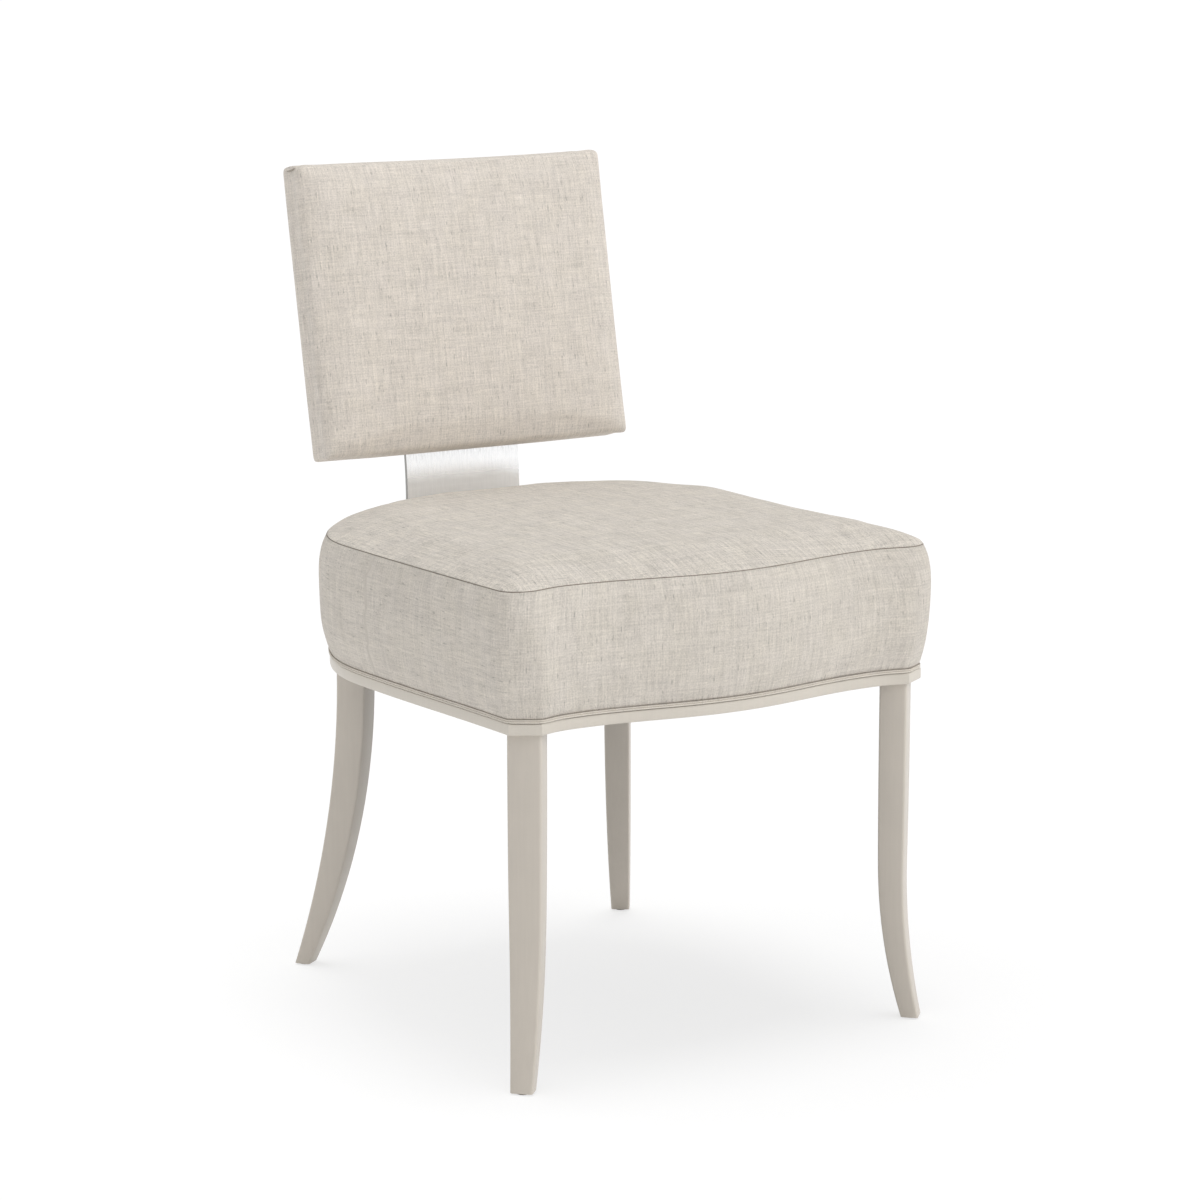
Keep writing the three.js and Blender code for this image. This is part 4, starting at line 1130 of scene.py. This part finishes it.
def pull_boxing(piece):
    """The boxing's uneven stuffing, with puckers at its foot and gathers under the seam."""
    for v in piece.data.vertices:
        v.co.y += PLAN_Y
        on_boxing = BOXING_LOW < v.co.z < SEAM_HEIGHT - 1 * MM
        if on_boxing and swell_at(Vector((v.co.x, v.co.y - PLAN_Y))) > 0.5:
            run, up = perimeter_place(v.co), (v.co.z - BOXING_LOW) / (SEAM_HEIGHT - BOXING_LOW)
            pull = PULL * noise(Vector((run * 15, up * 2.2, 1)))
            pucker = PUCKER * noise(Vector((run * 48, up, 5))) * (1 - smooth_step(up * 4))
            gather = GATHER * noise(Vector((run * 55, up * 1.4, 9))) * smooth_step(up * 3.2 - 2.2)
            fade = smooth_step(up * 12) * smooth_step((1 - up) * 12)
            v.co += v.normal * (pull + pucker + gather) * fade


def make_seat():
    points, faces = seat_form(EDGE_RISE - SWELL_RISE, SEAT_CROWN - SWELL_CROWN)
    piece = shape_piece("seat_cushion", points, faces)
    seam_start = BOXING_RINGS * AROUND
    seam = set(range(seam_start, seam_start + AROUND))
    underside = len(points) - (GRID_ACROSS - 1) * (GRID_ALONG - 1)
    held = []
    for i, p in enumerate(points):
        flat = i < seam_start + AROUND and swell_at(p) < 0.05
        held.append(1.0 if i < AROUND * 2 or i in seam or i >= underside or flat else 0.0)
    mark = piece.vertex_groups.new(name="seam")
    mark.add(list(seam), 1.0, "REPLACE")
    swell(piece, held, 5, 6 * MM, evening=5)
    crease_seam(piece, seam)
    subdivide(piece)
    groove = sew_seam(piece)
    pull_boxing(piece)

    def lay(face, corner):
        normal = face.normal
        if normal.z > 0.6 or (normal.z > 0.25 and corner.z > SEAM_HEIGHT + 2 * MM) or normal.z < -0.6:
            return (corner.x, corner.y)
        if abs(normal.x) > abs(normal.y):
            return (corner.z, perimeter_place(corner))
        return (perimeter_place(corner), corner.z)

    weave_map(piece, lay)
    smooth_all(piece)
    dress(piece, SEAT_LINEN, SEAM_SHADE, SEAT_TOP_LINEN)
    for face in piece.data.polygons:
        # The seam's groove faces get a darker linen: painted shade in the sewn seam.
        if face.index in groove:
            face.material_index = 1
        elif face.center.z > SEAM_HEIGHT:
            face.material_index = 2
    print(f"seat_cushion: {len(groove)} faces in the seam")
    finish_piece(piece, "cloth", "seat_foam", "seat_top_panel", "seat_boxing", "rail_wadding")


# Base band: the two narrow rolls at the foot of the boxing
WELT_PITCH = 2.1
WELT_CORE = 1.25
WELT_REACH = 1.05
WELT_HALF_HEIGHT = 1.02
# Height on the welt above which upward faces take painted shade.
WELT_PAINTED_SHADE_FROM = 3.2 * MM
WELT_GAP = 2.2 * MM


def make_band():
    profile = [(0, 0.03)]
    for base in (0, WELT_PITCH):
        for k in range(7):
            angle = math.radians(-90 + 180 * k / 6)
            rise = base + WELT_PITCH / 2 + WELT_HALF_HEIGHT * math.sin(angle)
            profile.append((WELT_CORE + WELT_REACH * math.cos(angle), rise))
    profile.append((0, 2 * WELT_PITCH - 0.03))
    clear = STRAP_WIDTH / 2 + WELT_GAP
    found = [i for i in range(AROUND) if FOOT[i].y < 0 or abs(FOOT[i].x) > clear]
    half = math.ceil(len(found) / 2)
    rings = []
    for i in found[half:] + found[:half]:
        away = outward(FOOT, i)
        places = [(FOOT[i] + away * (reach * MM + FIT), rise) for reach, rise in profile]
        rings.append([Vector((p.x, p.y + PLAN_Y, BOXING_LOW + rise * MM)) for p, rise in places])
    piece = make_tube("base_welt", rings)
    subdivide(piece)
    weave_map(piece, lambda face, corner: (perimeter_place(corner), corner.z))
    smooth_by_angle(piece, 60)
    dress(piece, WELT_LINEN, CREASE_SHADE)
    # Upward faces on the welt's top roll get a darker linen: painted shade under the boxing's foot.
    for face in piece.data.polygons:
        upper = face.center.z > BOXING_LOW + WELT_PAINTED_SHADE_FROM
        face.material_index = 1 if upper and face.normal.z > 0.5 else 0
    finish_piece(piece, "cloth", "base_band")


# Upholstered back, drawn upright and then leaned
BACK_FOOT_HEIGHT = 558.6 * MM
BACK_HEIGHT = 315 * MM
BACK_HALF_WIDTH = 187 * MM
BACK_THICKNESS = 44.5 * MM
BACK_FRONT_CROWN = 8.5 * MM
BACK_REAR_CROWN = 2.8 * MM
BACK_EDGE_ROLL = 5.5 * MM
BACK_CORNER = 4.5 * MM
STRAP_REST = BACK_THICKNESS + BACK_REAR_CROWN + FIT


def back_place():
    bend_y = STRAP_FRONT + STRAP_BEND_RADIUS * (1 - math.cos(BACK_LEAN))
    bend_z = SEAM_HEIGHT + STRAP_BEND_RADIUS * math.sin(BACK_LEAN)
    rest = STRAP_REST + math.sin(BACK_LEAN) * (bend_z - BACK_FOOT_HEIGHT)
    return Vector((0, bend_y - rest / math.cos(BACK_LEAN) + PLAN_Y, BACK_FOOT_HEIGHT))


def lean_back(piece):
    piece.rotation_euler = (-BACK_LEAN, 0, 0)
    piece.location = back_place()
    settle(piece)


def back_crown(x, z):
    across = min(abs(x) / (BACK_HALF_WIDTH - BACK_EDGE_ROLL / 2), 1)
    half = BACK_HEIGHT / 2
    upward = min(abs(z - half) / (half - BACK_EDGE_ROLL / 2), 1)
    return (1 - across ** 2.4) * (1 - upward ** 2.4)


EASE_ACROSS = 1.4 * MM
EASE_UP = 0.6 * MM
VOXEL = 5 * MM
PINNED_REAR = 6 * MM
SWELL_FRONT = 1.5 * MM
SOFT_ROLL_WIDTH = 27 * MM
SOFT_ROLL_DEPTH = 6.5 * MM
BACK_TOP_DIP = 3.2 * MM
BACK_TOP_TILT = 1.2 * MM
TOP_CORNER_DROP = 2.6 * MM
FRONT_FULLER = 4.2 * MM
FRONT_LONGER = 1.6 * MM
SIDE_FOLD = 0.55 * MM


def soft_roll(x, z):
    """How far the stuffing has fallen away towards the front's edges, none at the middle."""
    def share(gap):
        near = 1 - min(max(gap / SOFT_ROLL_WIDTH, 0), 1)
        return 1 - math.sqrt(1 - near ** 2)
    side, ends = share(BACK_HALF_WIDTH - abs(x)), share(min(z, BACK_HEIGHT - z))
    return min(math.hypot(side, ends), 1)


def soften_back(v):
    """Moves one corner of the plain back to where the stuffing and the pulled cloth put it."""
    x, y, z = v.co
    if y < BACK_EDGE_ROLL:
        v.co.y -= (BACK_FRONT_CROWN - SWELL_FRONT) * back_crown(x, z) * (1 - y / BACK_EDGE_ROLL)
    v.co.y += SOFT_ROLL_DEPTH * soft_roll(x, z) * (1 - smooth_step(y / SOFT_ROLL_WIDTH))
    across = x / BACK_HALF_WIDTH
    lift = BACK_TOP_DIP * abs(across) ** 2.2 + BACK_TOP_TILT * across ** 3
    lift -= TOP_CORNER_DROP * smooth_step((abs(x) - BACK_HALF_WIDTH + 11 * MM) / (12 * MM))
    v.co.z += lift * smooth_step(z / BACK_HEIGHT * 5 - 4)
    rearward = smooth_step(y / BACK_THICKNESS)
    v.co.x += FRONT_FULLER * (0.9 - rearward) * across
    v.co.z += FRONT_LONGER * (0.6 - rearward) * min(z / BACK_HEIGHT * 2 - 1, 0)
    fold = SIDE_FOLD * noise(Vector((y * 160, z * 9, 3 if x > 0 else 7)))
    v.co.x += math.copysign(fold * smooth_step((abs(x) - BACK_HALF_WIDTH + 6 * MM) / (5 * MM)), x)


def make_back():
    clear_selection()
    bpy.ops.mesh.primitive_cube_add(size=1, location=(0, BACK_THICKNESS / 2, BACK_HEIGHT / 2))
    piece = name_piece("back_cushion")
    piece.scale = (BACK_HALF_WIDTH * 2 + EASE_ACROSS, BACK_THICKNESS - FIT * 2, BACK_HEIGHT + EASE_UP)
    settle(piece)
    edit(piece, "EDGE")
    pick(piece, "edges", lambda e: abs((e.verts[0].co - e.verts[1].co).normalized().y) > 0.9)
    bevel_edges(BACK_CORNER, 4)
    pick(piece, "edges", lambda e: max(v.co.y for v in e.verts) < 1 * MM)
    bevel_edges(BACK_EDGE_ROLL, 5)
    leave_edit()
    piece.data.remesh_voxel_size = VOXEL
    piece.data.remesh_voxel_adaptivity = 0
    work_on(piece)
    bpy.ops.object.voxel_remesh()
    for v in piece.data.vertices:
        soften_back(v)
    pinned = BACK_THICKNESS - PINNED_REAR
    held = [1.0 if v.co.y > pinned else 0.0 for v in piece.data.vertices]
    swell(piece, held, 3.2, 3 * MM, evening=10)
    subdivide(piece)
    smooth_all(piece)

    def lay(face, corner):
        if abs(face.normal.x) > 0.7:
            return (corner.y, corner.z)
        if abs(face.normal.z) > 0.7:
            return (corner.x, corner.y)
        return (corner.x, corner.z)

    weave_map(piece, lay)
    lean_back(piece)
    # The back takes the lighter linen copy: painted light.
    dress(piece, BACK_LINEN_PAINTED_LIGHT)
    finish_piece(piece, "cloth", "back_front_cover", "back_foam", "back_edge_pad")


FOLD_STEPS = 16
FOLD_AROUND = 12
FOLD_REACH = 2.2 * MM
FOLD_RISE = 2.4 * MM
FOLD_END = 35 * MM
FOLD_SPLAY = 2.4 * MM
FOLD_TUCK = 0.6 * MM
FOLD_BELOW_TOP = 3.4 * MM


def make_corner_fold(word, side, fullness, start):
    """The cloth's pleat at a top corner: a small roll along the side, with a darker linen under it as
    painted shade for the soft crease below.
    """
    rings = []
    for k in range(FOLD_STEPS + 1):
        share = k / FOLD_STEPS
        full = math.sin(math.pi * (0.05 + 0.9 * share)) ** 0.6 * fullness
        middle = BACK_HALF_WIDTH - FOLD_TUCK + FOLD_SPLAY * (1 - share)
        ring = []
        for j in range(FOLD_AROUND):
            angle = math.tau * j / FOLD_AROUND
            x = middle + FOLD_REACH * full * math.cos(angle)
            z = BACK_HEIGHT - FOLD_BELOW_TOP + FOLD_RISE * full * math.sin(angle)
            ring.append(Vector((side * x, start + (FOLD_END - start) * share, z)))
        rings.append(ring)
    piece = make_tube(f"corner_fold_{word}", rings)
    weave_map(piece, lambda face, corner: (corner.z, corner.y))
    smooth_all(piece)
    dress(piece, BACK_LINEN_PAINTED_LIGHT, FOLD_SHADE)
    # Downward faces take the darker linen: painted shade under the roll.
    for face in piece.data.polygons:
        face.material_index = 1 if face.normal.z < -0.6 else 0
    lean_back(piece)
    finish_piece(piece, "cloth")


OUTSIDE_DEPTH = 3.2 * MM
OUTSIDE_INSET = 2.2 * MM
OUTSIDE_PROUD = 0.8 * MM
OUTSIDE_CROWN = BACK_REAR_CROWN - 0.9 * MM
TURN_IN_WIDTH = 3 * MM
TURN_IN_DROP = 1.6 * MM


def make_outside_back():
    clear_selection()
    bpy.ops.mesh.primitive_grid_add(x_subdivisions=48, y_subdivisions=42, size=1, location=ORIGIN)
    piece = name_piece("outside_back")
    edit(piece, "FACE")
    select_all()
    resize(BACK_HALF_WIDTH * 2 - OUTSIDE_INSET * 2, BACK_HEIGHT - OUTSIDE_INSET * 2)
    extrude((0, 0, OUTSIDE_DEPTH))
    face_outwards()
    leave_edit()
    half = BACK_HEIGHT / 2
    for v in piece.data.vertices:
        if v.co.z > OUTSIDE_DEPTH / 2:
            across, upward = abs(v.co.x) / BACK_HALF_WIDTH, abs(v.co.y) / half
            edge = min(BACK_HALF_WIDTH - abs(v.co.x), half - abs(v.co.y)) - OUTSIDE_INSET
            turn_in = max(0, 1 - edge / TURN_IN_WIDTH)
            full = (1 - min(across, 1) ** 6) * (1 - min(upward, 1) ** 6)
            v.co.z += OUTSIDE_CROWN * full - TURN_IN_DROP * turn_in
    piece.rotation_euler = (-math.pi / 2, 0, 0)
    piece.location = (0, BACK_THICKNESS - OUTSIDE_DEPTH + OUTSIDE_PROUD, half)
    settle(piece)
    smooth_by_angle(piece, 50)
    weave_map(piece, lambda face, corner: (corner.x, corner.z))
    lean_back(piece)
    # The outside back also takes the lighter linen copy: painted light.
    dress(piece, BACK_LINEN_PAINTED_LIGHT)
    finish_piece(piece, "cloth", "outside_back_panel")


# Dust cover: thin lining stapled under the frame, notched round the legs and sagging a little
DUST_INSET = 15 * MM
DUST_THICKNESS = 0.8 * MM
DUST_SAG = 4 * MM
NOTCH_CLEARANCE = 0.9 * MM
NOTCH_HEIGHT = 12 * MM


def make_dust_cover():
    top = FRAME_UNDERSIDE - FIT
    ring = [Vector((p.x, p.y, top)) for p in drawn_in(LIP, DUST_INSET)]

    def hanging(place):
        reach = min(abs(place.x) / (LIP_HALF_WIDTH - DUST_INSET), 1)
        run = min(abs(place.y - PLAN_MIDDLE) / (PLAN_HALF_DEPTH - DUST_INSET), 1)
        sag = smooth_step(1.35 * (1 - reach)) * smooth_step(1.35 * (1 - run))
        return Vector((place.x, place.y, top - DUST_SAG * sag))

    inner, faces = grid_inside(ring, hanging)
    piece = shape_piece("lining_sheet", [p + Vector((0, PLAN_Y, 0)) for p in ring + inner], faces)
    work_on(piece)
    thicker = piece.modifiers.new("thicker", "SOLIDIFY")
    thicker.thickness = DUST_THICKNESS
    thicker.offset = -1
    bpy.ops.object.modifier_apply(modifier="thicker")
    for leg in (FRONT_LEG, REAR_LEG):
        for side in (-1, 1):
            clear_selection()
            bpy.ops.mesh.primitive_cube_add(size=1, location=ORIGIN)
            cutter = name_piece("notch")
            width, depth = (size * MM + NOTCH_CLEARANCE * 2 for size in leg["top"])
            cutter.scale = (depth, width, NOTCH_HEIGHT)
            stand_at_leg(cutter, leg, side, FRAME_UNDERSIDE)
            cut_away(piece, cutter)
    smooth_by_angle(piece, 30)
    dress(piece, LINING)
    finish_piece(piece, "lining", "dust_cover")


PAINT = satin_paint("taupe_paint", shade(201, 193, 182), 0.4)
# A lighter copy of the leg paint for the frame: painted light on its lip.
FRAME_PAINT_PAINTED_LIGHT = satin_paint("frame_paint_painted_light", shade(208, 201, 190), 0.38)
STEEL = brushed_steel("brushed_steel", (0.73, 0.735, 0.745, 1))
# A near-white copy of the strap's steel for its front face, with painted reflection and painted light.
STEEL_FRONT_PAINTED_LIGHT = steel_with_painted_reflections("steel_front_painted_light", (0.985, 0.99, 0.995, 1))
# A near-black copy of the steel for the strap's sides: painted shade.
STEEL_EDGE_PAINTED_SHADE = brushed_steel("steel_edge_painted_shade", (0.30, 0.295, 0.285, 1))
BOLT_STEEL = plain_finish("bolt_steel", (0.72, 0.72, 0.71, 1), (900, 900, 900), 0.05, 0.3, 1.0)
SEAT_LINEN = linen("seat_linen", shade(212, 205, 195))
SEAT_TOP_LINEN = linen("seat_top_linen", shade(213, 206, 196), slub=1.4)
# A lighter copy of the seat's linen for the back, which faces up more: painted light.
BACK_LINEN_PAINTED_LIGHT = linen("back_linen_painted_light", shade(221, 213, 203))
WELT_LINEN = linen("welt_linen", shade(212, 205, 194), slub=0.25, threads=0.0)
# A darker linen for the seam's groove: painted shade in the sewn seam.
SEAM_SHADE = linen("seam_shade", shade(150, 140, 129), slub=0.5)
# A darker linen for the welt's top: painted shade under the boxing.
CREASE_SHADE = linen("crease_shade", shade(164, 155, 144), slub=0.5)
# A darker linen for the corner folds' undersides: painted shade.
FOLD_SHADE = linen("fold_shade", shade(168, 160, 149), slub=0.5)
NYLON = plain_finish("glide_nylon", shade(141, 133, 122), (300, 300, 300), 0.03, 0.45)
TIMBER = plain_finish("block_timber", shade(176, 141, 98), (30, 260, 260), 0.12, 0.65)
ZINC = plain_finish("zinc_plate", (0.66, 0.67, 0.69, 1), (700, 700, 700), 0.06, 0.35, 1.0)
WEBBING = plain_finish("elastic_webbing", shade(60, 58, 54), (520, 520, 60), 0.2, 0.9, depth=0.3 * MM)
PLYWOOD = plain_finish("core_plywood", shade(194, 165, 120), (26, 700, 40), 0.1, 0.7)
LINING = plain_finish("dust_lining", shade(27, 27, 27), (900, 900, 300), 0.16, 0.95, depth=0.2 * MM)

make_frame()
for end, leg in (("front", FRONT_LEG), ("rear", REAR_LEG)):
    for word, side in (("left", -1), ("right", 1)):
        make_leg(end, word, leg, side)
make_strap()
make_bolts()
make_seat()
make_band()
make_back()
make_corner_fold("left", -1, 1.1, 12 * MM)
make_corner_fold("right", 1, 0.8, 14 * MM)
make_outside_back()
make_dust_cover()
CAD_FINISHES = {
    "_glide": NYLON, "_corner_block": TIMBER, "_leg_bolt": ZINC, "_web_1": WEBBING, "_web_2": WEBBING,
    "_web_3": WEBBING, "back_core": PLYWOOD,
}
for ending, finish in CAD_FINISHES.items():
    for node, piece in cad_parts.items():
        if node.endswith(ending):
            for place in piece.material_slots:
                place.material = finish
